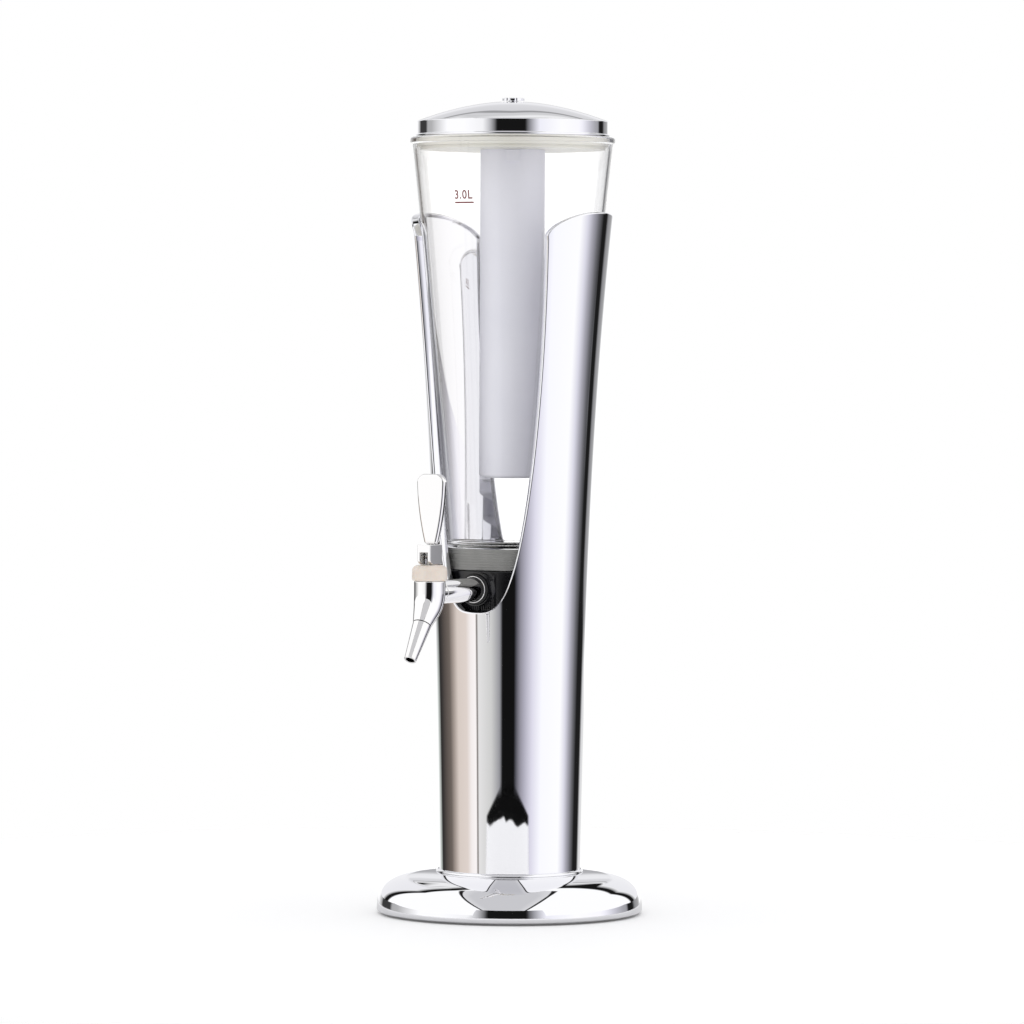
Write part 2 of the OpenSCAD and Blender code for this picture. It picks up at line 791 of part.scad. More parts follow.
module return_spring() {
    low = spring_z + spring_wire_r;
    rise = spring_top_z - spring_z - 2 * spring_wire_r;
    last = spring_rings * spring_turns;
    tube_rings = [for (i = [0:last]) coil_ring(i, low, rise)];
    points = [for (r = tube_rings) for (p = r) p];
    sides = [for (i = [0:last - 1]) for (j = [0:spring_sides - 1])
        let (a = i * spring_sides + j, b = i * spring_sides + (j + 1) % spring_sides)
        for (t = [[a, b, b + spring_sides], [a, b + spring_sides, a + spring_sides]]) t];
    cap_low = [for (j = [1:spring_sides - 2]) [0, j + 1, j]];
    top = last * spring_sides;
    cap_high = [for (j = [1:spring_sides - 2]) [top, top + j, top + j + 1]];
    gap = min([for (i = [0:last - spring_rings]) for (p = tube_rings[i])
        for (q = tube_rings[i + spring_rings]) norm(p - q)]);
    echo(spring_least_gap = gap);
    color("gainsboro") at_tap(0) polyhedron(points = points, faces = concat(sides, cap_low, cap_high));
}

// Lever and handle

module cheek_outline() {
    front = yoke_d / 2;
    cap_h = yoke_top_z - pin_z;
    intersection() {
        union() {
            translate([-cam_offset, 0]) circle(r = cam_r);
            translate([-cam_offset, -cam_r]) square([front + cam_offset, cam_r + cap_h]);
            translate([-front, 0]) square([yoke_d, cap_h]);
        }
        translate([-front, -yoke_d]) square([yoke_d, 2 * yoke_d]);
    }
}

module lever_yoke() {
    front = yoke_d / 2;
    color("silver") at_tap(pin_z) difference() {
        rotate([90, 0, 90]) linear_extrude(yoke_w, center = true) cheek_outline();
        translate([-slot_w / 2, -front - over, -cam_r - over])
            cube([slot_w, yoke_d + 2 * over, cam_r + over + yoke_top_z - pin_z - yoke_cap_t]);
        rotate([0, 90, 0]) cylinder(r = eye_r + 1.5 * rest_gap, h = slot_w, center = true);
        rotate([0, 90, 0]) cylinder(r = pin_r + run_gap, h = yoke_w + 2 * over, center = true);
        translate([0, handle_set_back, yoke_top_z - pin_z - stud_in_yoke_l])
            cylinder(r = stud_thread_r + run_gap, h = stud_in_yoke_l + over);
    }
}

module lever_pin() {
    color("gainsboro") at_tap(pin_z) rotate([0, 90, 0])
        cylinder(r = pin_r, h = yoke_w - 2 * fit_gap, center = true);
}

module handle_stud() {
    color("gray") at_tap(yoke_top_z - stud_in_yoke_l + fit_gap) translate([0, handle_set_back, 0])
        cylinder(r = stud_thread_r, h = stud_in_yoke_l + stud_in_handle_l);
}

// Half width of the handle at a share of its length, with round top corners
function handle_half_w(s) =
    let (half = (handle_foot_w + handle_grow_w * (1 - pow(1 - s, 2))) / 2,
         into_corner = max(0, s * handle_l - (handle_l - handle_corner_r)))
    half - handle_corner_r + sqrt(pow(handle_corner_r, 2) - pow(into_corner, 2));

module handle() {
    corner_share = handle_corner_r / handle_l;
    shares = concat([for (i = [0:handle_steps - 1]) i / handle_steps * (1 - corner_share)],
        [for (i = [0:corner_steps]) 1 - corner_share * (1 - sin(90 * i / corner_steps))]);
    color("silver") at_tap(handle_z) difference() {
        translate([0, handle_set_back + handle_t / 2, 0]) rotate([90, 0, 0]) linear_extrude(handle_t)
            polygon(concat(
                [for (s = shares) [handle_half_w(s), s * handle_l]],
                [for (s = reversed(shares)) [-handle_half_w(s), s * handle_l]]));
        translate([0, handle_set_back, -over])
            cylinder(r = stud_thread_r + run_gap, h = over + stud_in_handle_l + 2 * fit_gap);
    }
}

// Lid pieces

module lid_dome() {
    outer = [for (s = rings(0, 1)) let (r = lid_r * (1 - s * (1 - vent_hole_r / lid_r)))
        [r, lid_top_z + lid_dome_z(r, lid_r)]];
    inner_edge = lid_r - lid_wall;
    inner = [for (s = rings(0, 1)) let (r = inner_edge * (1 - s * (1 - vent_hole_r / inner_edge)))
        [r, lid_top_z - lid_wall + lid_dome_z(r, inner_edge)]];
    color("silver") rotate_extrude() polygon(concat(
        [[lid_flange_r, lid_z], [lid_flange_r, lid_z + lid_flange_h], [lid_r, lid_z + lid_flange_h]],
        outer, reversed(inner), [[inner_edge, lid_z]]));
}

module twist_slot(turn) {
    slot_r = ice_r + peg_out + rest_gap;
    rotate([0, 0, turn - slot_margin_a]) translate([0, 0, peg_z - slot_half_h])
        rotate_extrude(angle = twist_a + 2 * slot_margin_a)
            translate([hub_bore_r - over, 0]) square([slot_r - hub_bore_r + over, 2 * slot_half_h]);
    rotate([0, 0, turn + twist_a - slot_entry_a]) translate([0, 0, plug_z - over])
        rotate_extrude(angle = 2 * slot_entry_a)
            translate([hub_bore_r - 2 * over, 0])
                square([slot_r + slot_entry_out - hub_bore_r + 2 * over, peg_z - plug_z + over]);
}

module lid_plug() {
    inner_r = plug_r - plug_wall;
    hub_r = hub_bore_r + hub_wall;
    snap_z = lid_z + rest_gap;
    color("ivory") difference() {
        rotate_extrude() polygon([
            [hub_bore_r, plug_z], [plug_r, plug_z], [plug_r, snap_z], [snap_r, snap_z],
            [snap_r, snap_z + snap_h], [plug_r, snap_z + snap_h], [plug_r, plug_top_z],
            [inner_r, plug_top_z], [inner_r, plug_z + plug_wall], [hub_r, plug_z + plug_wall],
            [hub_r, hub_top_z], [0, hub_top_z], [0, hub_top_z - plug_wall],
            [hub_bore_r, hub_top_z - plug_wall]]);
        for (i = [0:lugs_n - 1]) twist_slot(lug_angle + i * 360 / lugs_n);
        around(air_holes_n, air_hole_ring_r) translate([0, 0, plug_z - over])
            cylinder(r = air_hole_r, h = plug_wall + 2 * over);
    }
}

module lid_seal() {
    color("ivory") translate([0, 0, lid_seal_z])
        ring(plug_r + fit_gap + lid_seal_w, plug_r + fit_gap, lid_seal_h);
}

module vent_cap() {
    color("silver") union() {
        translate([0, 0, vent_z]) difference() {
            cylinder(r = vent_r, h = vent_h);
            around(vent_flutes_n, vent_r + vent_flute_r / 2) translate([0, 0, -over])
                cylinder(r = vent_flute_r, h = vent_h + 2 * over);
        }
        difference() {
            translate([0, 0, vent_z - vent_stem_l]) cylinder(r = vent_stem_r, h = vent_stem_l + over);
            translate([0, 0, vent_clip_z - fit_gap])
                ring(vent_stem_r + over, vent_stem_r - vent_groove_t, vent_clip_t + 2 * fit_gap);
        }
    }
}

module vent_clip() {
    color("gray") translate([0, 0, vent_clip_z])
        ring(vent_clip_r, vent_stem_r - vent_groove_t + run_gap, vent_clip_t);
}

// Ice tube

module ice_tube() {
    bore_r = ice_r - ice_wall;
    color([0.85, 0.87, 0.95]) difference() {
        union() {
            rotate_extrude() polygon(concat(
                [[0, ice_z]],
                arc(ice_r - ice_corner_r, ice_z + ice_corner_r, ice_corner_r, -90, 0),
                [[ice_r, ice_top_z], [0, ice_top_z]]));
            around(lugs_n, ice_r - ice_wall / 2, lug_angle - 90)
                translate([0, -lug_w / 2, plug_z - rest_gap - lug_h])
                    cube([lug_t + ice_wall / 2, lug_w, lug_h]);
            around(lugs_n, ice_r - ice_wall / 2, lug_angle) translate([0, 0, peg_z]) rotate([0, 90, 0])
                cylinder(r = peg_r, h = peg_out + ice_wall / 2);
        }
        translate([0, 0, ice_z + ice_wall]) cylinder(r = bore_r, h = ice_l);
        translate([0, 0, tube_seal_z])
            ring(ice_r + over, ice_r - tube_seal_w - fit_gap, tube_seal_t + fit_gap);
    }
}

module ice_tube_seal() {
    color("black") translate([0, 0, tube_seal_z + fit_gap / 2])
        ring(ice_r, ice_r - tube_seal_w, tube_seal_t);
}

base_cover();
base_plate();
ballast_ring();
base_screws();
rubber_feet();
column_ring();
column_shell();
column_screws();
outlet_cup();
cup_washer();
cup_nut();
tank_seal();
tank();
tap_shank();
shank_gasket();
shank_washer();
shank_nut();
tap_body();
nozzle_seal();
spout_nozzle();
bonnet_collar();
bonnet_bush();
stem_seal();
valve_stem();
valve_seal();
return_spring();
lever_yoke();
lever_pin();
handle_stud();
handle();
lid_dome();
lid_plug();
lid_seal();
vent_cap();
vent_clip();
ice_tube();
ice_tube_seal();
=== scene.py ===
"""Drink tower: a clear tank between the two bright wings of a column, with ice tube, lever tap and lid.

Sizes are in millimetres where a piece is laid out, and in metres once they are in a mesh.
"""

import math

import bmesh
import bpy
from mathutils import Matrix, Vector


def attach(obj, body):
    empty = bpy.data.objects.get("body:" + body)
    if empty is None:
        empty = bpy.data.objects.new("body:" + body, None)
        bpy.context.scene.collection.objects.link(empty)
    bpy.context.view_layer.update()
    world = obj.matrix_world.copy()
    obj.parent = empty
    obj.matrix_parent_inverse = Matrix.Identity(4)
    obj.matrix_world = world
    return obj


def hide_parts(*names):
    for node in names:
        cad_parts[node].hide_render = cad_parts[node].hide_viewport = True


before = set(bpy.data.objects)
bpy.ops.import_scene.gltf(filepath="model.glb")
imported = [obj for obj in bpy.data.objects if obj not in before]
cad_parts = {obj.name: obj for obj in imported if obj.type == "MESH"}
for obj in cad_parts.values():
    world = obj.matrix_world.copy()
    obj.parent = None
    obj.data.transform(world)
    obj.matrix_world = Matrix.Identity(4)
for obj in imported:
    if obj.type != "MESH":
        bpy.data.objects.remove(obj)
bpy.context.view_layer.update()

MM = 0.001
FILLET_STEPS = 6
# Steps round the axis, for wide pieces, middling ones, small ones, holes and screw bosses
WIDE, MIDDLING, SMALL, BORE, BOSS = 256, 128, 96, 64, 48
# Rounds of trying that a place on the curved column needs to settle
SETTLE = 30

# Camera: its angle is measured round the tower from the tap towards +X
CAMERA_AZIMUTH = 28.0
CAMERA_DISTANCE = 4300.0
CAMERA_HEIGHT = 440.0
CAMERA_AIM = (0.676, 311.43)
CAMERA_ROLL = 0.2616
CAMERA_SENSOR = 36.0
CAMERA_LENS = 195.15
CAMERA_REACH = 50.0

# Base: a low dome whose curve springs from the waist, a steep side, and a flat seat for the column
BASE_R = 103.0
RIM_R = 101.0
RIM_Z = 1.5
WAIST_Z = 9.0
BASE_RISE = 24.0
BASE_ROUND = 6.3
BASE_WALL = 2.5
BASE_SEAT_R = 57.2
BASE_SEAT_Z = 31.2
BASE_BORE_R = 20.0
BASE_SCREWS_R = 85.0
COLUMN_SCREWS_R = 45.0
SCREWS_N = 4
SCREWS_START = 45.0

# Column: a flaring tube with a cut-out in front and at the rear, which leaves two arched wings
SHELL_Z = 35.0
SHELL_FOOT_R = 54.5
SHELL_H = 508.0
SHELL_TAPER = 9.85
SHELL_FLARE = 14.8
SHELL_WALL = 2.5
CUT_Z = 236.0
CUT_RISE = 285.0
CUT_HALF_W = 57.5
CUT_TURN = 0.3
WING_TOP_Z = 543.0
WING_DROP = 22.0
WING_HALF_L = 52.0
WING_TURN = 2.2
EDGE_DEPTH = 6.3
EDGE_T = 2.5

# Outlet cup and the tank that screws onto it
CUP_R = 50.0
CUP_WALL_Z = 267.0
TANK_Z = 285.0
TANK_H = 316.0
TANK_FOOT_R = 49.5
TANK_TAPER = 25.0
TANK_FLARE = 3.6
TANK_WALL = 2.5

# Tap: the shank leaves the cup towards the front, and the spout leans forward below the bend
TAP_Y = -130.5
TAP_BEND_Z = 247.0
TAP_TOP_Z = 262.5
SHANK_Z = 253.5
SPOUT_LEAN = math.radians(35)
LEVER_PIN_Z = 282.15
LEVER_PIN_BORE_R = 1.58
STUD_BORE_R = 1.68
STUD_Y = -127.5


def tank_r(z):
    u = (z - TANK_Z) / TANK_H
    return TANK_FOOT_R + TANK_TAPER * u + TANK_FLARE * u**3


def shell_r(z):
    u = (z - SHELL_Z) / SHELL_H
    return SHELL_FOOT_R + SHELL_TAPER * u + SHELL_FLARE * u**3


# Mesh making


def own_object(name, mesh):
    """A new object in the scene that holds the mesh."""
    made = bpy.data.objects.new(name, mesh)
    bpy.context.scene.collection.objects.link(made)
    return made


def smoothed(mesh, sharp):
    """Shades a mesh smooth, with edges over the sharp angle left crisp."""
    mesh.polygons.foreach_set("use_smooth", [True] * len(mesh.polygons))
    mesh.set_sharp_from_angle(angle=math.radians(sharp))


def turn_outward(mesh):
    """Merges doubles and turns all faces outwards."""
    work = bmesh.new()
    work.from_mesh(mesh)
    bmesh.ops.remove_doubles(work, verts=work.verts, dist=1e-7)
    bmesh.ops.recalc_face_normals(work, faces=work.faces)
    if work.calc_volume(signed=True) < 0:
        bmesh.ops.reverse_faces(work, faces=work.faces)
    work.to_mesh(mesh)
    work.free()


def mesh_object(name, points, faces, sharp=40.0, outward=True):
    """A smooth mesh from points in millimetres."""
    mesh = bpy.data.meshes.new(name)
    mesh.from_pydata([Vector(p) * MM for p in points], [], faces)
    if outward:
        turn_outward(mesh)
    smoothed(mesh, sharp)
    return own_object(name, mesh)


def fillet(corners):
    """A closed outline of (x, y, radius) corners as (x, y) points, each corner rounded by its radius."""
    points = []
    count = len(corners)
    for i, (x, y, radius) in enumerate(corners):
        here = Vector((x, y))
        if radius <= 0:
            points.append((x, y))
            continue
        back = Vector(corners[i - 1][:2]) - here
        ahead = Vector(corners[(i + 1) % count][:2]) - here
        half = back.angle(ahead) / 2
        reach = min(radius / math.tan(half), back.length * 0.49, ahead.length * 0.49)
        radius = reach * math.tan(half)
        middle = here + (back.normalized() + ahead.normalized()).normalized() * (radius / math.sin(half))
        first = here + back.normalized() * reach - middle
        last = here + ahead.normalized() * reach - middle
        turn = first.angle_signed(last)
        for k in range(FILLET_STEPS + 1):
            arm = Matrix.Rotation(-turn * k / FILLET_STEPS, 2) @ first
            points.append(tuple(middle + arm))
    return points


def sleeve(inner_r, outer_r, low, high, rounds=(0, 0, 0, 0)):
    """The outline of a plain ring, with its corners rounded: inner low, outer low, outer high, inner high."""
    places = ((inner_r, low), (outer_r, low), (outer_r, high), (inner_r, high))
    return fillet([(*place, radius) for place, radius in zip(places, rounds)])


def spin(name, outline, steps, sharp=40.0, place=None):
    """Turns a closed (radius, height) outline round the Z axis. Points on the axis become poles."""
    points = []
    rings = []
    for radius, height in outline:
        if radius < 1e-6:
            rings.append([len(points)] * steps)
            points.append((0, 0, height))
            continue
        rings.append(list(range(len(points), len(points) + steps)))
        for k in range(steps):
            angle = math.tau * k / steps
            points.append((radius * math.cos(angle), radius * math.sin(angle), height))
    faces = []
    for i, low in enumerate(rings):
        high = rings[(i + 1) % len(rings)]
        if low[0] == low[1] and high[0] == high[1]:
            continue
        for k in range(steps):
            n = (k + 1) % steps
            faces.append(list(dict.fromkeys([low[k], low[n], high[n], high[k]])))
    if place is not None:
        points = [place @ Vector(p) for p in points]
    return mesh_object(name, points, faces, sharp)


def loft(name, rings, sharp=40.0):
    """Joins rings of equal count and closes both ends with a fan."""
    points = [p for ring in rings for p in ring]
    count = len(rings[0])
    faces = []
    for i in range(len(rings) - 1):
        for k in range(count):
            n = (k + 1) % count
            faces.append([i * count + k, i * count + n, (i + 1) * count + n, (i + 1) * count + k])
    for base, ring in ((0, rings[0]), ((len(rings) - 1) * count, rings[-1])):
        middle = len(points)
        points.append(sum((Vector(p) for p in ring), Vector()) / count)
        faces += [[base + k, base + (k + 1) % count, middle] for k in range(count)]
    return mesh_object(name, points, faces, sharp)


def flat_piece(name, outline, low, high, place):
    """A plate with the given outline, between two levels of its own Z axis."""
    count = len(outline)
    points = [place @ Vector((x, y, z)) for z in (low, high) for x, y in outline]
    faces = [list(range(count))[::-1], list(range(count, 2 * count))]
    for k in range(count):
        n = (k + 1) % count
        faces.append([k, n, count + n, count + k])
    return mesh_object(name, points, faces, sharp=30)


def rod(name, start, end, radius, steps=BORE):
    """A plain closed cylinder between two points, used to cut or add."""
    start, end = Vector(start), Vector(end)
    aim = (end - start).to_track_quat("Z", "X").to_matrix().to_4x4()
    length = (end - start).length
    outline = [(0, 0), (radius, 0), (radius, length), (0, length)]
    return spin(name, outline, steps, place=Matrix.Translation(start) @ aim)


def evaluated(made, name=None):
    """The object's mesh with its modifiers applied, as a plain new object. The old one goes."""
    bpy.context.view_layer.update()
    graph = bpy.context.evaluated_depsgraph_get()
    mesh = bpy.data.meshes.new_from_object(made.evaluated_get(graph))
    name = name or made.name
    bpy.data.objects.remove(made)
    return own_object(name, mesh)


def joined(operation, base, *tools):
    """Adds or cuts closed shapes, exactly, one after the other."""
    for tool in tools:
        modifier = base.modifiers.new(operation.title(), "BOOLEAN")
        modifier.operation = operation
        modifier.solver = "EXACT"
        modifier.object = tool
        base = evaluated(base)
        turn_outward(base.data)
        bpy.data.objects.remove(tool)
    return base


def gathered(base, *others):
    """Puts closed shapes into one mesh as they are."""
    work = bmesh.new()
    for part in (base, *others):
        work.from_mesh(part.data)
    work.to_mesh(base.data)
    work.free()
    for part in others:
        bpy.data.objects.remove(part)
    return base


def bevelled(made, width, segments=4):
    """Rounds the crisp edges of a piece."""
    modifier = made.modifiers.new("Bevel", "BEVEL")
    modifier.width = width * MM
    modifier.segments = segments
    modifier.limit_method = "ANGLE"
    modifier.angle_limit = math.radians(30)
    modifier.harden_normals = True
    return evaluated(made)


def large_faces_first(made, weight=50):
    """Leans the normals towards large faces, so that these stay true mirrors beside their rounded edges."""
    modifier = made.modifiers.new("Large faces first", "WEIGHTED_NORMAL")
    modifier.keep_sharp = True
    modifier.weight = weight
    return evaluated(made)


def flat_faced(made):
    """Gives a cut piece its crisp edges back, and the whole weight to its large flat faces."""
    smoothed(made.data, 30)
    return large_faces_first(made, 100)


def finish_piece(made, body, material, slot, *nodes):
    """Gives a piece its material and says which CAD body carries it and which nodes it stands for."""
    if not made.data.has_custom_normals:
        made = large_faces_first(made)
    made.data.materials.clear()
    made.data.materials.append(material)
    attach(made, body)
    if nodes:
        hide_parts(*nodes)
    return made


# Materials


def colour(code):
    """An sRGB hex colour as linear red, green, blue and alpha."""
    parts = [int(code[i : i + 2], 16) / 255 for i in (1, 3, 5)]
    return (*(p / 12.92 if p <= 0.04045 else ((p + 0.055) / 1.055) ** 2.4 for p in parts), 1.0)


def add(tree, kind, inputs=None, **settings):
    """Adds a node, with its settings, and with a value or a link for each named input."""
    made = tree.nodes.new(kind)
    for key, value in settings.items():
        setattr(made, key, value)
    for key, value in (inputs or {}).items():
        if isinstance(value, bpy.types.NodeSocket):
            tree.links.new(value, made.inputs[key])
        else:
            made.inputs[key].default_value = value
    return made


def surface_pattern(tree, place, kind, size, amount=2.0, grit=0.5):
    """A pattern of 0 to 1 over a surface: lumps about so many millimetres across, with finer ones in them
    by amount and grit, or tool rings so many millimetres apart up the axis, which wander by amount."""
    inputs = {"Vector": place, "Scale": 1 / (size * MM)}
    if kind == "rings":
        inputs["Distortion"] = amount
        return add(tree, "ShaderNodeTexWave", inputs, bands_direction="Z").outputs["Fac"]
    inputs.update({"Detail": amount, "Roughness": grit})
    return add(tree, "ShaderNodeTexNoise", inputs).outputs["Fac"]


def finish_of(name, shades, rough, relief=None, **values):
    """A finish, from what it gives the eye.

    shades is a colour, or two colours and the pattern that blends them. rough is a roughness, or the lowest,
    the highest and the pattern between them. relief is a height in millimetres and its pattern. The other
    values are the shader's own.
    """
    made = bpy.data.materials.new(name)
    made.use_nodes = True
    tree = made.node_tree
    shader = tree.nodes["Principled BSDF"]
    place = add(tree, "ShaderNodeTexCoord").outputs["Object"]
    for key, value in values.items():
        shader.inputs[key.replace("_", " ")].default_value = value
    if isinstance(shades, str):
        shader.inputs["Base Color"].default_value = colour(shades)
    else:
        first, second, pattern = shades
        blend = {"Factor": surface_pattern(tree, place, *pattern), "A": colour(first), "B": colour(second)}
        mix = add(tree, "ShaderNodeMix", blend, data_type="RGBA")
        tree.links.new(mix.outputs["Result"], shader.inputs["Base Color"])
    if isinstance(rough, float):
        shader.inputs["Roughness"].default_value = rough
    else:
        # Noise keeps to the middle of its range, so that part is stretched over the whole
        low, high, pattern = rough
        wear = {"Value": surface_pattern(tree, place, *pattern), "From Min": 0.3, "From Max": 0.7}
        wear.update({"To Min": low, "To Max": high})
        tree.links.new(add(tree, "ShaderNodeMapRange", wear).outputs["Result"], shader.inputs["Roughness"])
    if relief:
        height, pattern = relief
        bumps = {"Height": surface_pattern(tree, place, *pattern), "Distance": height * MM}
        tree.links.new(add(tree, "ShaderNodeBump", bumps).outputs["Normal"], shader.inputs["Normal"])
    return made


# Chrome plate over moulded ABS: a cool mirror, with the faint long waves of the moulding under it
CHROME = finish_of(
    "Chrome_plated_moulded_ABS",
    "#eeeef1",
    rough=(0.012, 0.035, ("lumps", 45, 3.0)),
    relief=(0.012, ("lumps", 30, 0.0)),
    Metallic=1.0,
)
# Chrome plate over polished cast brass: a bright mirror with a trace of polishing waves
TAP_CHROME = finish_of(
    "Chrome_plated_polished_brass",
    "#f0efef",
    rough=(0.015, 0.05, ("lumps", 14, 3.0)),
    relief=(0.006, ("lumps", 9, 0.0)),
    Metallic=1.0,
)
# Turned stainless steel: fine rings from the tool, drawn coarser than real ones, and a soft shine
STEEL = finish_of(
    "Stainless_steel_turned",
    "#c9c9c6",
    rough=(0.18, 0.34, ("lumps", 5)),
    relief=(0.01, ("rings", 0.6, 1.0)),
    Metallic=1.0,
)
# Grey cast iron from a sand mould: dark, dull and grainy
SAND = ("lumps", 1.2, 4.0, 0.7)
IRON = finish_of(
    "Grey_iron_sand_cast",
    ("#35363a", "#55565a", SAND),
    rough=(0.55, 0.85, SAND),
    relief=(0.25, SAND),
    Metallic=0.7,
)
# Turned free-cutting brass: warm yellow, with tool rings drawn coarser than real ones
BRASS = finish_of(
    "Brass_turned",
    "#d3ae63",
    rough=(0.2, 0.38, ("lumps", 4)),
    relief=(0.01, ("rings", 0.5, 0.6)),
    Metallic=1.0,
)
# Black ABS from a polished mould: deep black, glossy, with a little shrinkage in the surface
GLOSS_BLACK = finish_of(
    "Black_ABS_polished_mould",
    ("#101012", "#1b1b1e", ("lumps", 12, 3.0)),
    rough=(0.12, 0.24, ("lumps", 20, 4.0)),
    relief=(0.02, ("lumps", 10, 1.0)),
    IOR=1.52,
)
# Black polypropylene from a spark-eroded mould: matt, with a fine even grain of about half a millimetre
ERODED = ("lumps", 0.5, 3.0, 0.6)
MATT_BLACK = finish_of(
    "Black_polypropylene_eroded_mould",
    ("#141416", "#232326", ERODED),
    rough=(0.5, 0.7, ERODED),
    relief=(0.06, ERODED),
    IOR=1.49,
)
# Clear SAN from a polished mould: colourless, with the faint waves of a moulded wall
CLEAR = finish_of(
    "Clear_SAN_polished_mould",
    "#ffffff",
    rough=0.0,
    relief=(0.02, ("lumps", 40, 0.0)),
    IOR=1.5,
    Transmission_Weight=1.0,
)
# The same plastic over a moulded thread, which breaks up the light: milky and ringed by the thread, and
# painted grey as painted shade for the dark inside seen through it
MILKY = finish_of(
    "Clear_SAN_moulded_over_thread",
    ("#8f8f8d", "#a3a3a0", ("lumps", 8, 2.0)),
    rough=(0.28, 0.42, ("lumps", 6, 3.0)),
    relief=(0.12, ("rings", 6.4, 0.4)),
    IOR=1.5,
    Transmission_Weight=0.3,
)
# Frosted polypropylene: milky and satin. Its faint glow is painted light: an emission that stands in for the
# light the thin wall passes on
FROST = ("lumps", 0.6, 3.0, 0.6)
FROSTED = finish_of(
    "Frosted_polypropylene_moulded",
    ("#e2e2ea", "#ececf2", ("lumps", 35, 2.0)),
    rough=(0.42, 0.55, FROST),
    relief=(0.02, FROST),
    IOR=1.49,
    Transmission_Weight=0.12,
    # Painted glow: the tube gives off a little light of its own
    Emission_Color=colour("#f2f0ff"),
    Emission_Strength=0.04,
)
# Cream nylon, moulded: a warm pinkish white with a soft satin shine
CREAM = finish_of(
    "Cream_nylon_moulded",
    ("#d8ccc1", "#e3d9ce", ("lumps", 6, 3.0)),
    rough=(0.3, 0.42, ("lumps", 0.5, 3.0)),
    relief=(0.01, ("lumps", 0.5, 2.0)),
    IOR=1.53,
    Subsurface_Weight=0.2,
    Subsurface_Radius=(0.002, 0.0014, 0.001),
)
# Ivory polyethylene, moulded: slightly waxy and warm white
IVORY = finish_of(
    "Ivory_polyethylene_moulded",
    ("#d5d3ca", "#dfddd5", ("lumps", 15, 3.0)),
    rough=(0.32, 0.45, ("lumps", 0.8, 3.0)),
    relief=(0.01, ("lumps", 0.8, 2.0)),
    IOR=1.51,
    Subsurface_Weight=0.15,
    Subsurface_Radius=(0.002, 0.0018, 0.0015),
)
# White silicone rubber, moulded: soft, matt and slightly see-through
SILICONE = finish_of(
    "White_silicone_moulded",
    "#e9e9e6",
    rough=(0.45, 0.6, ("lumps", 1.0, 3.0)),
    IOR=1.41,
    Subsurface_Weight=0.3,
    Subsurface_Radius=(0.003, 0.003, 0.003),
)
# Black EPDM rubber, moulded: matt, with a bloom of slightly lighter patches
RUBBER = finish_of(
    "Black_EPDM_rubber_moulded",
    ("#0e0e0f", "#1d1d1e", ("lumps", 3, 4.0)),
    rough=(0.55, 0.75, ("lumps", 0.4, 3.0)),
    relief=(0.03, ("lumps", 0.4, 2.0)),
    IOR=1.5,
)
# Dark red screen print: flat ink with slightly thin places
INK = finish_of(
    "Dark_red_ink_screen_printed",
    ("#6a2224", "#7c3334", ("lumps", 0.7, 2.0)),
    rough=0.5,
    IOR=1.48,
)


# Copies and threads, made by geometry nodes


def node_group(name, labels):
    """A geometry tree with named inputs: its tree, its input node and a function that closes it."""
    tree = bpy.data.node_groups.new(name, "GeometryNodeTree")
    tree.interface.new_socket("Geometry", in_out="OUTPUT", socket_type="NodeSocketGeometry")
    for label, kind in (("Geometry", "Geometry"), *labels.items()):
        tree.interface.new_socket(label, in_out="INPUT", socket_type="NodeSocket" + kind)
    return tree, add(tree, "NodeGroupInput").outputs


def grown(made, tree, geometry, material, values, name):
    """Ends a geometry tree in real geometry with a material, and gives back what it makes, as a mesh."""
    real = add(tree, "GeometryNodeRealizeInstances", {"Geometry": geometry})
    inputs = {"Geometry": real.outputs["Geometry"], "Material": material}
    painted = add(tree, "GeometryNodeSetMaterial", inputs)
    add(tree, "NodeGroupOutput", {"Geometry": painted.outputs["Geometry"]})
    modifier = made.modifiers.new("Nodes", "NODES")
    modifier.node_group = tree
    for item in tree.interface.items_tree:
        if item.in_out == "INPUT" and item.name in values:
            modifier[item.identifier] = values[item.name]
    return evaluated(made, name)


def ring_of(name, pattern, count, radius, start_angle, material, middle=False):
    """Copies a pattern that stands on the axis to places round a circle, each turned outwards."""
    labels = {"Count": "Int", "Ring radius": "Float", "Start": "Float"}
    tree, inputs = node_group(name + "_ring", labels)
    circle_inputs = {"Vertices": inputs["Count"], "Radius": inputs["Ring radius"]}
    circle = add(tree, "GeometryNodeMeshCircle", circle_inputs)
    index = add(tree, "GeometryNodeInputIndex").outputs["Index"]
    step = add(tree, "ShaderNodeMath", {0: math.tau, 1: inputs["Count"]}, operation="DIVIDE")
    turn = add(tree, "ShaderNodeMath", {0: index, 1: step.outputs["Value"]}, operation="MULTIPLY")
    angle = add(tree, "ShaderNodeCombineXYZ", {"Z": turn.outputs["Value"]})
    places = {"Points": circle.outputs["Mesh"], "Instance": inputs["Geometry"]}
    places["Rotation"] = angle.outputs["Vector"]
    copies = add(tree, "GeometryNodeInstanceOnPoints", places)
    start = add(tree, "ShaderNodeCombineXYZ", {"Z": inputs["Start"]})
    round_turn = {"Geometry": copies.outputs["Instances"], "Rotation": start.outputs["Vector"]}
    turned = add(tree, "GeometryNodeTransform", round_turn)
    extra = [own_object(name + "_middle", pattern.data.copy())] if middle else []
    values = {"Count": count, "Ring radius": radius * MM, "Start": math.radians(start_angle)}
    made = grown(pattern, tree, turned.outputs["Geometry"], material, values, name)
    return gathered(made, *extra)


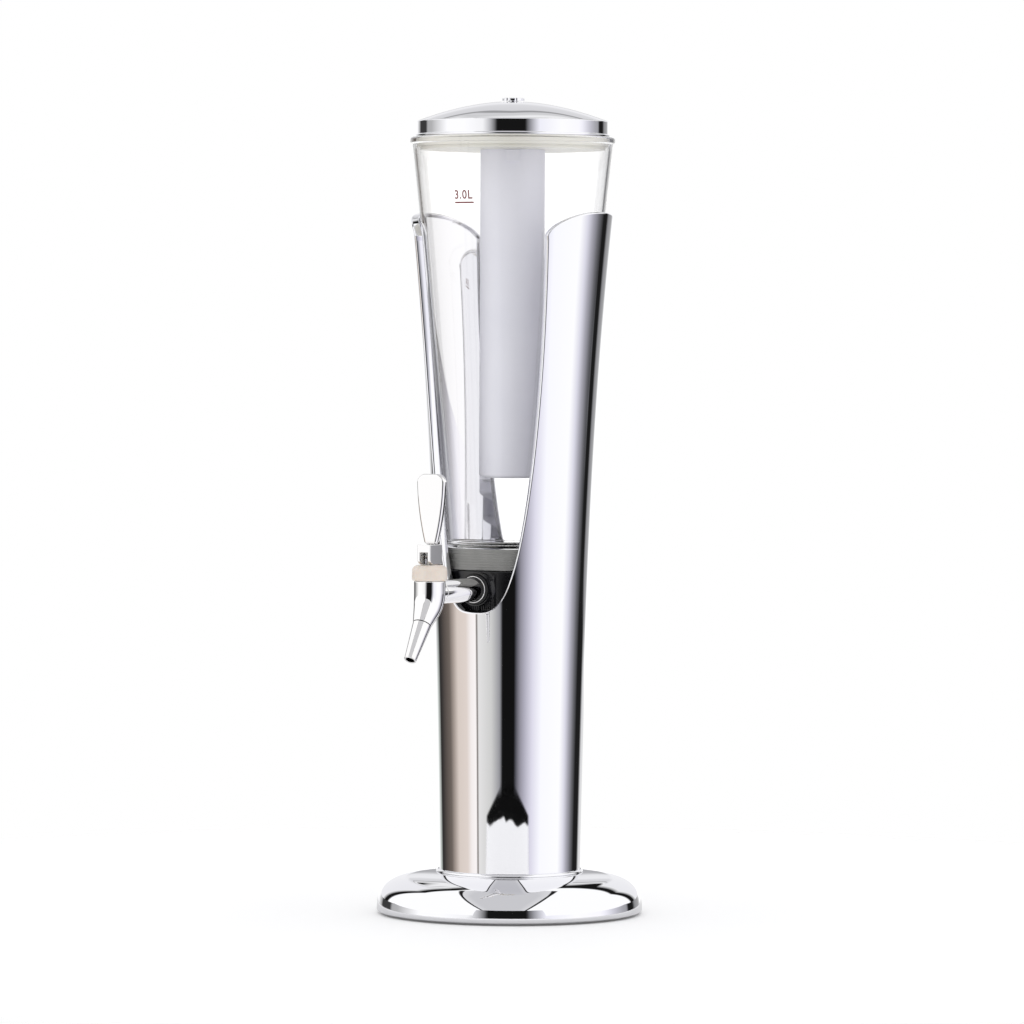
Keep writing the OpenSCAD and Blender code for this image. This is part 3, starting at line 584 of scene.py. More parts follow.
def helix(name, radius, low_z, turns, pitch, width, height, material):
    """A thread ridge: a spiral path with a trapezoid carried along it."""
    values = {
        "Turns": turns,
        "Radius": radius * MM,
        "Rise": pitch * turns * MM,
        "Ridge width": width * MM,
        "Ridge height": height * MM,
        "Low": low_z * MM,
    }
    tree, inputs = node_group(name + "_thread", dict.fromkeys(values, "Float"))
    spiral_inputs = {
        "Resolution": 96,
        "Rotations": inputs["Turns"],
        "Start Radius": inputs["Radius"],
        "End Radius": inputs["Radius"],
        "Height": inputs["Rise"],
    }
    spiral = add(tree, "GeometryNodeCurveSpiral", spiral_inputs)
    crest = add(tree, "ShaderNodeMath", {0: inputs["Ridge width"], 1: 0.4}, operation="MULTIPLY")
    ridge = add(tree, "GeometryNodeCurvePrimitiveQuadrilateral", {"Offset": 0.0}, mode="TRAPEZOID")
    tree.links.new(inputs["Ridge width"], ridge.inputs["Bottom Width"])
    tree.links.new(crest.outputs["Value"], ridge.inputs["Top Width"])
    tree.links.new(inputs["Ridge height"], ridge.inputs["Height"])
    path = {"Curve": spiral.outputs["Curve"], "Profile Curve": ridge.outputs["Curve"], "Fill Caps": True}
    swept = add(tree, "GeometryNodeCurveToMesh", path)
    shift = add(tree, "ShaderNodeCombineXYZ", {"Z": inputs["Low"]})
    lift = {"Geometry": swept.outputs["Mesh"], "Translation": shift.outputs["Vector"]}
    moved = add(tree, "GeometryNodeTransform", lift)
    holder = own_object(name, bpy.data.meshes.new(name))
    return grown(holder, tree, moved.outputs["Geometry"], material, values, name)


# Base and bead ring


def dome_curve(edge, rise, inner_r, start=0.0, steps=60):
    """The base's dome from the waist inwards, as (radius, height, 0) corners. It may start higher up."""
    corners = []
    reach = math.acos((inner_r / edge) ** (BASE_ROUND / 2))
    for i in range(steps + 1):
        turn = start + (reach - start) * i / steps
        radius = edge * math.cos(turn) ** (2 / BASE_ROUND)
        height = WAIST_Z + rise * math.sqrt(max(0.0, 1 - (radius / edge) ** BASE_ROUND))
        corners.append((radius, height, 0))
    return corners


def base_side(start_r, start_z):
    """Under the dome the side goes on as a shallow arc and turns in with a small round lip at the bottom."""
    flare = math.radians(10)
    flare_r = 49.0
    steps = 8
    side = []
    for i in range(1, steps + 1):
        turn = flare * (1 - i / steps)
        out_r = start_r + flare_r * (math.cos(turn) - math.cos(flare))
        side.append((out_r, start_z - flare_r * (math.sin(flare) - math.sin(turn)), 0))
    low_r, low_z, _ = side[-1]
    side.append((low_r - 0.35, low_z - 1.15, 1.0))
    return side


def base_cover():
    under_z = BASE_SEAT_Z - BASE_WALL
    inner = dome_curve(BASE_R - BASE_WALL, under_z - WAIST_Z, BASE_SEAT_R)
    dome = dome_curve(BASE_R - 0.48, BASE_RISE, BASE_SEAT_R, start=0.128)
    side = base_side(*dome[0][:2])
    seat = [
        (BASE_SEAT_R, BASE_SEAT_Z, 0),
        (BASE_BORE_R, BASE_SEAT_Z, 0),
        (BASE_BORE_R, under_z, 0),
        (BASE_SEAT_R, under_z, 0),
    ]
    rim = [(RIM_R - BASE_WALL, RIM_Z, 0.7)]
    outline = fillet([(RIM_R, RIM_Z, 0.3)] + side[::-1] + dome + seat + inner[::-1] + rim)
    made = spin("base_cover_plated", outline, WIDE)
    finish_piece(made, "stand", CHROME, "plated_plastic", "base_cover")
    hole_r, boss_r, boss_z, boss_top = 2.1, 4.5, 5.15, 25.5
    boss = spin("base_boss", sleeve(hole_r, boss_r, boss_z, boss_top, (0.2, 0.4, 0, 0)), BOSS)
    bosses = ring_of("base_bosses_plated", boss, SCREWS_N, BASE_SCREWS_R, SCREWS_START, CHROME)
    finish_piece(bosses, "stand", CHROME, "plated_plastic")


def column_ring():
    inner_r, bead_r, bead_z, bead = 50, 55.1, 33.1, 1.8
    turns = [math.radians(a) for a in range(-80, 81, 10)]
    bulge = [(bead_r + bead * math.cos(a), bead_z + bead * math.sin(a)) for a in turns]
    made = spin("column_ring_plated", [(inner_r, BASE_SEAT_Z)] + bulge + [(inner_r, SHELL_Z)], WIDE)
    finish_piece(made, "stand", CHROME, "plated_plastic", "column_ring")


# Column shell: each wing is a sheet between its cut edges and its arched top, with a rolled edge


def shell_slope(z):
    """How much the column's radius grows for each millimetre of height."""
    return shell_r(z + 0.5) - shell_r(z - 0.5)


def wing_arch_z(y):
    share = min(1.0, abs(y) / WING_HALF_L)
    return WING_TOP_Z - WING_DROP + WING_DROP * (1 - share**WING_TURN) ** (1 / WING_TURN)


def wing_outline(rows, columns):
    """The edge of one wing on the outer face as (angle from +X, height), from the front cut's lowest place,
    up the front edge, over the arch and down the rear edge."""
    corner_z = WING_TOP_Z - WING_DROP
    for _ in range(SETTLE):
        corner_z = wing_arch_z(math.sqrt(shell_r(corner_z) ** 2 - CUT_HALF_W**2))
    front = []
    low_rows = int(rows * 0.94)
    for i in range(low_rows + 1):
        s = math.sin(math.pi / 2 * i / low_rows)
        z = CUT_Z + CUT_RISE * s ** (1 / CUT_TURN)
        front.append((-math.acos(min(1.0, CUT_HALF_W * s / shell_r(z))), z))
    for i in range(1, rows - low_rows + 1):
        z = CUT_Z + CUT_RISE + (corner_z - CUT_Z - CUT_RISE) * i / (rows - low_rows)
        front.append((-math.acos(CUT_HALF_W / shell_r(z)), z))
    corner_angle = -front[-1][0]
    arch = []
    for j in range(columns + 1):
        angle = -corner_angle * math.cos(math.pi * j / columns)
        z = corner_z
        for _ in range(SETTLE):
            z = wing_arch_z(shell_r(z) * math.sin(angle))
        arch.append((angle, z))
    rear = [(-a, z) for a, z in reversed(front)]
    return front, arch, rear


def shell_point(angle, z, depth):
    radius = shell_r(z) - depth
    return Vector((radius * math.cos(angle), radius * math.sin(angle), z))


def drawn_in(outline, grow):
    """The outline moved into the sheet by a number of millimetres, along the sheet."""
    points = [shell_point(a, z, 0) for a, z in outline]
    moved = []
    last = len(points) - 1
    for i, (a, z) in enumerate(outline):
        if i in (0, last):
            inward = Vector((0, 0, -1))
        else:
            out = Vector((math.cos(a), math.sin(a), -shell_slope(z))).normalized()
            inward = (points[i + 1] - points[i - 1]).normalized().cross(out)
        p = points[i] + inward * grow
        moved.append((math.atan2(p.y, p.x), p.z))
    return moved


def rolled_edge():
    """The section of the rolled edge, as distance into the sheet and depth under the outer face."""
    outer_r, inner_r = 1.4, 1.1
    low = EDGE_DEPTH - inner_r
    section = []
    for k in range(7):
        a = math.radians(15 * k)
        section.append((outer_r * (1 - math.sin(a)), outer_r * (1 - math.cos(a))))
    section.append((0.0, low))
    for k in range(1, 7):
        a = math.radians(30 * k)
        section.append((inner_r - inner_r * math.cos(a), low + inner_r * math.sin(a)))
    section.append((EDGE_T - 0.3, SHELL_WALL + 0.9))
    section.append((EDGE_T + 0.1, SHELL_WALL + 0.25))
    section.append((EDGE_T + 0.9, SHELL_WALL))
    return section


def wing_sheet(ring, count, columns, depth):
    """Fills one wing between the front edge, the arch and the rear edge, row by row, with the rows bent up
    towards the arch."""
    left = ring[:count]
    top = [ring[count - 1]] + ring[count:-count] + [ring[-count]]
    grid = []
    for i, (angle, z, _) in enumerate(left):
        lift = (i / (count - 1)) ** 8
        row = []
        for j in range(columns + 1):
            here_z = z + lift * (top[j][1] - top[0][1])
            here = top[j][0] if i == count - 1 else -math.cos(math.pi * j / columns) * -angle
            row.append((here, here_z, depth))
        grid.append(row)
    return grid


def column_shell():
    rows, columns, levels = 72, 96, 56
    front, arch, rear = wing_outline(rows, columns)
    edge = front + arch[1:-1] + rear
    roll = rolled_edge()
    rings = [[(a, z, depth) for a, z in drawn_in(edge, grow)] for grow, depth in roll]
    points = []
    faces = []

    def place(items, turn=0.0):
        """Adds points, turned round the axis, and gives back their numbers."""
        first = len(points)
        points.extend(shell_point(a + turn, z, depth) for a, z, depth in items)
        return list(range(first, len(points)))

    def skin(grid):
        """Adds the faces between neighbouring rows of points."""
        for low, high in zip(grid, grid[1:]):
            for j in range(len(low) - 1):
                faces.append([low[j], low[j + 1], high[j + 1], high[j]])

    for turn in (0.0, math.pi):
        for ring, depth in ((rings[0], 0.0), (rings[-1], SHELL_WALL)):
            skin([place(row, turn) for row in wing_sheet(ring, len(front), columns, depth)])
        skin([place(ring, turn) for ring in rings])

    # Round part of the column below the cut-outs, its angles matched to the rows above
    half = [math.pi / 2 * -math.cos(math.pi * j / columns) for j in range(columns)]
    around = half + [a + math.pi for a in half]
    foot = []
    for top_z, depth in ((CUT_Z - roll[0][0], 0.0), (CUT_Z - roll[-1][0], SHELL_WALL)):
        grid = []
        for i in range(levels + 1):
            z = SHELL_Z + (top_z - SHELL_Z) * i / levels
            ids = place([(a, z, depth) for a in around])
            grid.append(ids + [ids[0]])
        skin(grid)
        foot.append(grid[0])
    skin(foot)
    made = mesh_object("column_shell_plated", points, faces, sharp=50.0)
    true_normals(made)
    finish_piece(made, "stand", CHROME, "plated_plastic", "column_shell")


def true_normals(made):
    """Gives the column's outer and inner faces the normals of its true curve, whatever the mesh's rows."""
    near = 0.01
    normals = []
    for vertex in made.data.vertices:
        x, y, z = vertex.co / MM
        radius = math.hypot(x, y)
        out = Vector((x / radius, y / radius, -shell_slope(z))).normalized()
        if abs(radius - shell_r(z)) < near:
            normals.append(out)
        elif abs(radius - shell_r(z) + SHELL_WALL) < near and SHELL_Z + 0.1 < z:
            normals.append(-out)
        else:
            normals.append(Vector((0, 0, 0)))
    made.data.normals_split_custom_set_from_vertices(normals)


def column_inside():
    """Shelf, foot flange and screw bosses in the column, which carry the outlet cup and take the screws."""
    spigot_hole_r, shelf_r, shelf_z, shelf_top = 10.15, 55.4, 219, 223
    shelf = spin("column_shelf_plated", sleeve(spigot_hole_r, shelf_r, shelf_z, shelf_top), MIDDLING)
    finish_piece(shelf, "stand", CHROME, "plated_plastic")
    flange_bore_r, flange_r, flange_top = 43, 53.2, 38.5
    flange = spin("column_flange_plated", sleeve(flange_bore_r, flange_r, SHELL_Z, flange_top), MIDDLING)
    finish_piece(flange, "stand", CHROME, "plated_plastic")
    hole_r, boss_r, boss_top = 2.08, 4.4, 48.2
    boss = spin("boss_pattern", sleeve(hole_r, boss_r, BASE_SEAT_Z, boss_top, (0, 0, 0.6, 0.3)), BOSS)
    bosses = ring_of("column_bosses_plated", boss, SCREWS_N, COLUMN_SCREWS_R, SCREWS_START, CHROME)
    finish_piece(bosses, "stand", CHROME, "plated_plastic")


# Feet and screws


def screw_pattern(name, low_z, thread_r, thread_l, head_r, head_h):
    """A pan-head screw standing head down on the axis, with a thread and a cross slot in its head."""
    root_r = thread_r * 0.82
    head_z = low_z - head_h
    outline = [(0, head_z, 0), (head_r, head_z, head_h * 0.55), (head_r, low_z, 0.1), (root_r, low_z, 0)]
    pitch = thread_r * 0.45
    z = low_z + pitch
    while z < low_z + thread_l - pitch:
        outline += [(root_r, z - pitch * 0.3, 0), (thread_r, z, 0), (root_r, z + pitch * 0.3, 0)]
        z += pitch
    outline += [(thread_r * 0.7, low_z + thread_l - 0.3, 0), (0, low_z + thread_l, 0)]
    made = spin(name, fillet(outline), 40)
    arm, half_w = head_r * 0.62, 0.4
    slots = []
    for turn in (0.0, math.pi / 2):
        corners = [(-arm, -half_w), (arm, -half_w), (arm, half_w), (-arm, half_w)]
        turned = [Matrix.Rotation(turn, 2) @ Vector(c) for c in corners]
        rings = [[(p.x, p.y, z) for p in turned] for z in (head_z - 1, low_z - head_h * 0.35)]
        slots.append(loft(name + "_slot", rings))
    return joined("DIFFERENCE", made, *slots)


def small_stand_parts():
    foot_r, foot_top_r, foot_h, feet_r = 7, 6.7, 2.6, 70.0
    outline = fillet([(0, 0, 0), (foot_r, 0, 0.5), (foot_top_r, foot_h, 0.2), (0, foot_h, 0)])
    foot = spin("foot_pattern", outline, BOSS)
    feet = ring_of("rubber_feet_moulded", foot, 4, feet_r, 0.0, RUBBER, middle=True)
    finish_piece(feet, "stand", RUBBER, "rubber", "rubber_feet")
    for owner, low_z, length, head_h, ring_r in (
        ("base_screw", 2.6, 12.0, 0.8, BASE_SCREWS_R),
        ("column_screw", 28.7, 14.0, 2.2, COLUMN_SCREWS_R),
    ):
        screw = screw_pattern(owner, low_z, 2.0, length, 3.8, head_h)
        screws = ring_of(owner + "s_turned", screw, SCREWS_N, ring_r, SCREWS_START, STEEL)
        finish_piece(screws, "stand", STEEL, "steel", owner + "s")


# Outlet cup with its thread


def outlet_cup():
    spigot_r, spigot_z, foot_r, shelf_top, floor_z = 10, 203, 20, 223, 226
    neck_r, neck_z, room_r, room_z = 46, 282, 42, 231
    spigot = [(0, spigot_z, 0), (spigot_r, spigot_z, 0.8), (spigot_r, shelf_top, 0)]
    foot = [(foot_r, shelf_top, 0.5), (foot_r, floor_z, 0.5)]
    wall = [(CUP_R, floor_z, 4), (CUP_R, CUP_WALL_Z, 0.6), (neck_r, CUP_WALL_Z, 0.3)]
    neck = [(neck_r, neck_z, 0.5), (room_r, neck_z, 0.5), (room_r, room_z, 2), (0, room_z, 0)]
    body = spin("outlet_cup_moulded", fillet(spigot + foot + wall + neck), 192)
    boss_r, boss_y, bore_r = 12.8, -58.5, 8.28
    boss = rod("cup_boss", (0, -37, SHANK_Z), (0, boss_y, SHANK_Z), boss_r, SMALL)
    bore = rod("cup_bore", (0, -30, SHANK_Z), (0, boss_y - 1.5, SHANK_Z), bore_r)
    body = joined("DIFFERENCE", joined("UNION", body, boss), bore)
    finish_piece(body, "stand", GLOSS_BLACK, "black_plastic", "outlet_cup")
    # The ridge is 2.2 mm wide and 1.4 mm high, and its middle runs a little outside the neck
    thread = helix("cup_thread_moulded", neck_r + 0.35, 274.2, 1.6, 3.2, 2.2, 1.4, GLOSS_BLACK)
    finish_piece(thread, "stand", GLOSS_BLACK, "black_plastic")


# Tank with its fill mark


def tank():
    steps = 80
    top, foot_z, floor_z, mouth_r, bead_z, bead = TANK_Z + TANK_H, 284, 286.5, 42, 596, 1.2
    heights = [TANK_Z + TANK_H * i / steps for i in range(steps + 1)]
    outer = [(tank_r(z), z, 0) for z in heights if TANK_Z < z < bead_z - 1]
    inner = [(tank_r(z) - TANK_WALL, z, 0) for z in heights if floor_z + 0.5 < z < top]
    lip_r = tank_r(top) + bead
    rim = [
        (tank_r(bead_z) + 0.1, bead_z, 0.6),
        (lip_r, bead_z + 0.2, 2.0),
        (lip_r, top, 2.2),
        (tank_r(top) - TANK_WALL, top, 0.8),
    ]
    foot = [(mouth_r, foot_z, 0.4), (CUP_R, foot_z, 0.5)]
    floor = [(tank_r(floor_z) - TANK_WALL, floor_z, 1.2), (mouth_r, floor_z, 0.6)]
    made = spin("tank_clear", fillet(foot + outer + rim + inner[::-1] + floor), WIDE)
    made = finish_piece(made, "tank", CLEAR, "clear_plastic", "tank")
    # A clear wall lets the light through, so it casts no shadow and only the camera's rays meet it
    made.visible_diffuse = False
    made.visible_glossy = False
    made.visible_shadow = False
    skirt_z, skirt_top = CUP_WALL_Z + 0.6, foot_z - 0.05
    skirt = sleeve(CUP_R - TANK_WALL, CUP_R, skirt_z, skirt_top, (0.4, 0.6, 0, 0))
    skirt = spin("tank_skirt_moulded", skirt, WIDE)
    finish_piece(skirt, "tank", MILKY, "clear_plastic")


def on_tank(name, flat, azimuth, middle_z, width, height):
    """Wraps a flat mesh round the tank's outer face, slightly proud of it, at a size in millimetres."""
    work = bmesh.new()
    work.from_mesh(flat)
    xs = [v.co.x for v in work.verts]
    ys = [v.co.y for v in work.verts]
    mid_x, mid_y = (min(xs) + max(xs)) / 2, (min(ys) + max(ys)) / 2
    wide, tall = max(xs) - min(xs), max(ys) - min(ys)
    for v in work.verts:
        v.co = Vector(((v.co.x - mid_x) / wide * width, (v.co.y - mid_y) / tall * height, 0))
    # Cuts at each millimetre let the mesh follow the tank's curve
    place = -width / 2 + 1
    while place < width / 2:
        parts = list(work.verts) + list(work.edges) + list(work.faces)
        bmesh.ops.bisect_plane(work, geom=parts, plane_co=(place, 0, 0), plane_no=(1, 0, 0))
        place += 1
    bmesh.ops.triangulate(work, faces=work.faces)
    for v in work.verts:
        z = middle_z + v.co.y
        radius = tank_r(z) + 0.05
        angle = math.radians(azimuth) + v.co.x / radius
        v.co = Vector((radius * math.sin(angle), -radius * math.cos(angle), z)) * MM
    mesh = bpy.data.meshes.new(name)
    work.to_mesh(mesh)
    work.free()
    return own_object(name, mesh)


def fill_mark():
    """The printed 3.0 litre mark and its line, on the tank's front."""
    words = bpy.data.curves.new("mark_words", "FONT")
    words.body = "3.0L"
    words.size = 1.0
    words.space_character = 1.12
    words.offset = 0.014
    flat = evaluated(own_object("mark_words", words))
    letters = on_tank("fill_mark_letters", flat.data, -2.9, 555.4, 15.6, 6.8)
    bpy.data.objects.remove(flat)
    finish_piece(letters, "tank", INK, "clear_plastic")
    line = bpy.data.meshes.new("mark_line")
    line.from_pydata([(-1, -1, 0), (1, -1, 0), (1, 1, 0), (-1, 1, 0)], [], [(0, 1, 2, 3)])
    line = on_tank("fill_mark_line", line, -2.6, 549.3, 16.6, 1.1)
    finish_piece(line, "tank", INK, "clear_plastic")


# Tap


def up_tap(z):
    """A frame on the tap's upright axis at a height."""
    return Matrix.Translation(Vector((0, TAP_Y, z)))


def spout_place(length):
    """A frame on the spout's axis, a distance from the bend, with Z along the spout."""
    lean = Matrix.Rotation(math.pi - SPOUT_LEAN, 4, "X")
    return up_tap(TAP_BEND_Z) @ lean @ Matrix.Translation(Vector((0, 0, length)))


def along_shank(y):
    """A frame on the shank's axis at a distance in front of the column's axis, with Z towards the tap."""
    return Matrix.Translation(Vector((0, -y, SHANK_Z))) @ Matrix.Rotation(math.pi / 2, 4, "X")


def tap_ring(y, z, lean, radius, count=SMALL):
    """A circle across the tap's path, leaning forward by an angle."""
    along = Vector((0, -math.sin(lean), -math.cos(lean)))
    side = Vector((1, 0, 0))
    up = along.cross(side)
    turns = [math.tau * k / count for k in range(count)]
    return [Vector((0, y, z)) + radius * (math.cos(a) * side + math.sin(a) * up) for a in turns]


def tap_rings():
    """The tap body's outside: an upright barrel, a narrowing bend and a straight taper to the nozzle."""
    barrel_r, bend_end_r, nozzle_r = 12.0, 12.0 - 1.55, 7.25
    # The bend starts and ends this far from where the two straight axes meet
    reach, joint = 8.0, 20.7
    bend_r = reach / math.tan(SPOUT_LEAN / 2)
    barrel_top = TAP_TOP_Z - 0.8
    rings = []
    for radius, z in ((11.4, TAP_TOP_Z), (11.85, TAP_TOP_Z - 0.25), (barrel_r, barrel_top)):
        rings.append(tap_ring(TAP_Y, z, 0.0, radius))
    for i in range(1, 7):
        rings.append(tap_ring(TAP_Y, barrel_top - (barrel_top - TAP_BEND_Z - reach) * i / 6, 0.0, barrel_r))
    bend_steps = 14
    for i in range(1, bend_steps + 1):
        share = i / bend_steps
        lean = SPOUT_LEAN * share
        y = TAP_Y - bend_r * (1 - math.cos(lean))
        z = TAP_BEND_Z + reach - bend_r * math.sin(lean)
        rings.append(tap_ring(y, z, lean, barrel_r - 1.55 * share**2))
    for i in range(1, 11):
        middle = spout_place(reach + (joint - reach) * i / 10).to_translation()
        radius = bend_end_r + (nozzle_r - bend_end_r) * i / 10
        rings.append(tap_ring(middle.y, middle.z, SPOUT_LEAN, radius))
    return rings


def tap_pieces():
    body = loft("tap_body_plated", tap_rings())
    boss_outline = fillet([(0, 0, 0), (8.7, 0, 0.5), (8.7, 12, 0), (0, 12, 0)])
    boss = spin("tap_boss", boss_outline, SMALL, place=along_shank(117.0))
    neck = rod("tap_neck", (0, TAP_Y, TAP_TOP_Z - 2), (0, TAP_Y, TAP_TOP_Z + 3.5), 10.4, SMALL)
    body = joined("UNION", body, boss, neck)
    # The bores have unlike numbers of steps, so that no two share an edge where they cross
    bores = [
        rod("tap_chamber", (0, TAP_Y, 249.0), (0, TAP_Y, 270.0), 8.5),
        rod("tap_throat", (0, TAP_Y, 245.0), (0, TAP_Y, 250.0), 4.6, 60),
        rod("tap_way", spout_place(1).to_translation(), spout_place(24).to_translation(), 4.2, 56),
        rod("tap_socket", spout_place(14.55).to_translation(), spout_place(25).to_translation(), 5.28, 60),
        rod("tap_port", (0, -116.0, SHANK_Z), (0, -123.9, SHANK_Z), 7.48, 62),
    ]
    body = joined("DIFFERENCE", body, *bores)
    smoothed(body.data, 40)
    finish_piece(body, "stand", TAP_CHROME, "plated_brass", "tap_body")
    seal = spin("nozzle_seal_moulded", sleeve(5.35, 6.75, 0, 0.6), SMALL, place=spout_place(20.7))
    finish_piece(seal, "stand", RUBBER, "rubber", "nozzle_seal")
    plug = [(3.4, -6, 0.2), (5.2, -6, 0.3), (5.2, 0, 0)]
    cone = [(7.25, 0, 0.3), (4.7, 31.1, 0.4), (3.4, 31.1, 0.3)]
    nozzle = spin("spout_nozzle_plated", fillet(plug + cone), SMALL, place=spout_place(21.3))
    finish_piece(nozzle, "stand", TAP_CHROME, "plated_brass", "spout_nozzle")


def shank_pieces():
    bore_r, root_r, thread_r, pitch = 4.5, 7.6, 8.2, 1.2
    outline = [(bore_r, 28.3, 0.3), (root_r, 28.3, 0.6)]
    y = 29.3
    while y < 44.0:
        for radius, shift in ((root_r, -0.45), (thread_r, -0.1), (thread_r, 0.1), (root_r, 0.45)):
            outline.append((radius, y + shift, 0))
        y += pitch
    outline += [(thread_r, 45.0, 0), (thread_r, 60.5, 0), (10.3, 60.5, 0.3), (10.3, 62.0, 0.5)]
    outline += [(9.1, 62.0, 0.3), (9.1, 117.0, 0.3)]
    outline += [(7.4, 117.0, 0), (7.4, 121.1, 0.4), (bore_r, 121.1, 0.3)]
    shank = spin("tap_shank_plated", fillet(outline), SMALL, place=along_shank(0))
    finish_piece(shank, "stand", TAP_CHROME, "plated_brass", "tap_shank")
    washer = sleeve(8.35, 11.6, 0, 2, (0.2, 0.7, 0.7, 0.2))
    gasket = spin("shank_gasket_moulded", washer, SMALL, place=along_shank(58.5))
    finish_piece(gasket, "stand", RUBBER, "rubber", "shank_gasket")
    lip_outline = fillet([(9.12, 62.02, 0), (9.85, 62.02, 0.2), (9.75, 63.1, 0.4), (9.12, 63.2, 0)])
    lip = spin("shank_lip_moulded", lip_outline, SMALL, place=along_shank(0))
    finish_piece(lip, "stand", RUBBER, "rubber")


def collar_and_stem():
    collar_r, collar_h, recess_r, recess_h, stem_hole_r = 13.4, 12, 10.55, 6.45, 3.2
    outside = [(recess_r, 0, 0.3), (collar_r, 0, 4.4), (collar_r, collar_h, 4.6)]
    inside = [(stem_hole_r, collar_h, 0.4), (stem_hole_r, recess_h, 0), (recess_r, recess_h, 0.3)]
    collar = spin("bonnet_collar_moulded", fillet(outside + inside), MIDDLING, place=up_tap(262.65))
    finish_piece(collar, "stand", CREAM, "cream_plastic", "bonnet_collar")
    shaft_r, shaft_top, disc_r, flange_r, eye_r, eye_half = 2.5, 281.0, 3.6, 6.0, 3, 2.9
    disc = [(0, 247.15, 0), (disc_r, 247.15, 0.4), (disc_r, 249.15, 0.3), (shaft_r, 249.15, 0)]
    flange = [(shaft_r, 252.25, 0), (flange_r, 252.25, 0.2), (flange_r, 253.95, 0.2), (shaft_r, 253.95, 0)]
    shaft = [(shaft_r, shaft_top, 0), (0, shaft_top, 0)]
    stem = spin("valve_stem_turned", fillet(disc + flange + shaft), BORE, place=up_tap(0))
    eye = [(0, -eye_half, 0), (eye_r, -eye_half, 0.3), (eye_r, eye_half, 0.3), (0, eye_half, 0)]
    sideways = Matrix.Rotation(math.pi / 2, 4, "Y")
    eye = spin("stem_eye", fillet(eye), BORE, place=up_tap(LEVER_PIN_Z) @ sideways)
    hole = rod("stem_hole", (-4, TAP_Y, LEVER_PIN_Z), (4, TAP_Y, LEVER_PIN_Z), LEVER_PIN_BORE_R, 32)
    stem = joined("DIFFERENCE", joined("UNION", stem, eye), hole)
    smoothed(stem.data, 40)
    finish_piece(stem, "stem", STEEL, "steel", "valve_stem")


# Lever


def lever_yoke():
    front, top, half_w, cam_r, cam_x = 9.25, 8.0, 5.75, 7.2, -3.5
    # Side view: x runs towards the rear and y up. A round cam joins the front to the flat underside
    cam_drop = math.sqrt(cam_r**2 - (front + cam_x) ** 2)
    cam_start = math.atan2(-cam_drop, -front - cam_x)
    outline = [(front, top), (-front, top), (-front, -cam_drop)]
    for i in range(1, 11):
        angle = cam_start + (-math.pi / 2 - cam_start) * i / 10
        outline.append((cam_x + cam_r * math.cos(angle), cam_r * math.sin(angle)))
    outline.append((front, -cam_r))
    place = Matrix(((0, 0, 1, 0), (1, 0, 0, TAP_Y), (0, 1, 0, LEVER_PIN_Z), (0, 0, 0, 1)))
    block = flat_piece("lever_yoke_plated", outline, -half_w, half_w, place)
    far, under = front + 2, -cam_r - 2
    slot_top, slot_half = 2.0, 3.2
    gap = [(-far, under), (far, under), (far, slot_top), (-far, slot_top)]
    slot = flat_piece("yoke_slot", gap, -slot_half, slot_half, place)
    block = joined("DIFFERENCE", block, slot)
    block = bevelled(block, 0.55)
    # The pin's hole stops short of the cheeks' outer faces, and the eye of the stem has a wider room
    holes = []
    for name, reach, radius, steps in (
        ("yoke_hole", 5.65, LEVER_PIN_BORE_R, 48),
        ("yoke_eye_room", 3.12, 3.45, 44),
    ):
        holes.append(rod(name, (-reach, TAP_Y, LEVER_PIN_Z), (reach, TAP_Y, LEVER_PIN_Z), radius, steps))
    holes.append(rod("yoke_stud", (0, STUD_Y, 287.15), (0, STUD_Y, 292), STUD_BORE_R, 32))
    block = flat_faced(joined("DIFFERENCE", block, *holes))
    finish_piece(block, "lever", TAP_CHROME, "plated_brass", "lever_yoke")


def handle():
    low_z, length, corner, low_w, wider, half_t, edge = 290.3, 53.0, 7.0, 10.2, 13.9, 2.9, 2.0

    def half_w(s):
        """Half of the paddle's width at a share of its length: wider at the top, with round corners."""
        half = (low_w + wider * (1 - (1 - s) ** 2)) / 2
        into = max(0.0, s * length - (length - corner))
        return half - corner + math.sqrt(max(0.0, corner**2 - into**2))

    shares = [i / 24 * (1 - corner / length) for i in range(24)]
    shares += [1 - corner / length * (1 - math.sin(math.radians(90 * i / 12))) for i in range(13)]
    right = [(half_w(s), s * length) for s in shares]
    left = [(-x, z) for x, z in right[::-1]]
    place = Matrix(((1, 0, 0, 0), (0, 0, -1, STUD_Y), (0, 1, 0, low_z), (0, 0, 0, 1)))
    plate = bevelled(flat_piece("handle_plated", right + left, -half_t, half_t, place), edge, 6)
    hole = rod("handle_hole", (0, STUD_Y, 289), (0, STUD_Y, 301.6), STUD_BORE_R, 32)
    plate = flat_faced(joined("DIFFERENCE", plate, hole))
    finish_piece(plate, "lever", TAP_CHROME, "plated_brass", "handle")


# Lid, vent cap and ice tube


def lid():
    lid_r, inner_r, flange_r, low_z, band_z, dome_h, hole_r = 74.6, 72.6, 76, 601.3, 613.3, 15.7, 3.58
    steps = 60

    def dome(edge, base):
        """A flat dome from its edge in to the vent's hole."""
        radii = [edge - (edge - hole_r) * i / steps for i in range(1, steps + 1)]
        return [(r, base + dome_h * (1 - (r / edge) ** 1.85), 0) for r in radii]

    band = [(flange_r, low_z, 0.4), (flange_r, 603.0, 0.6), (lid_r, 603.0, 0.5), (lid_r, band_z, 0.8)]
    inside = dome(inner_r, band_z - 2)[::-1] + [(inner_r, band_z - 2, 0), (inner_r, low_z, 0.4)]
    made = spin("lid_dome_plated", fillet(band + dome(lid_r, band_z) + inside), WIDE)
    finish_piece(made, "lid", CHROME, "plated_plastic", "lid_dome")


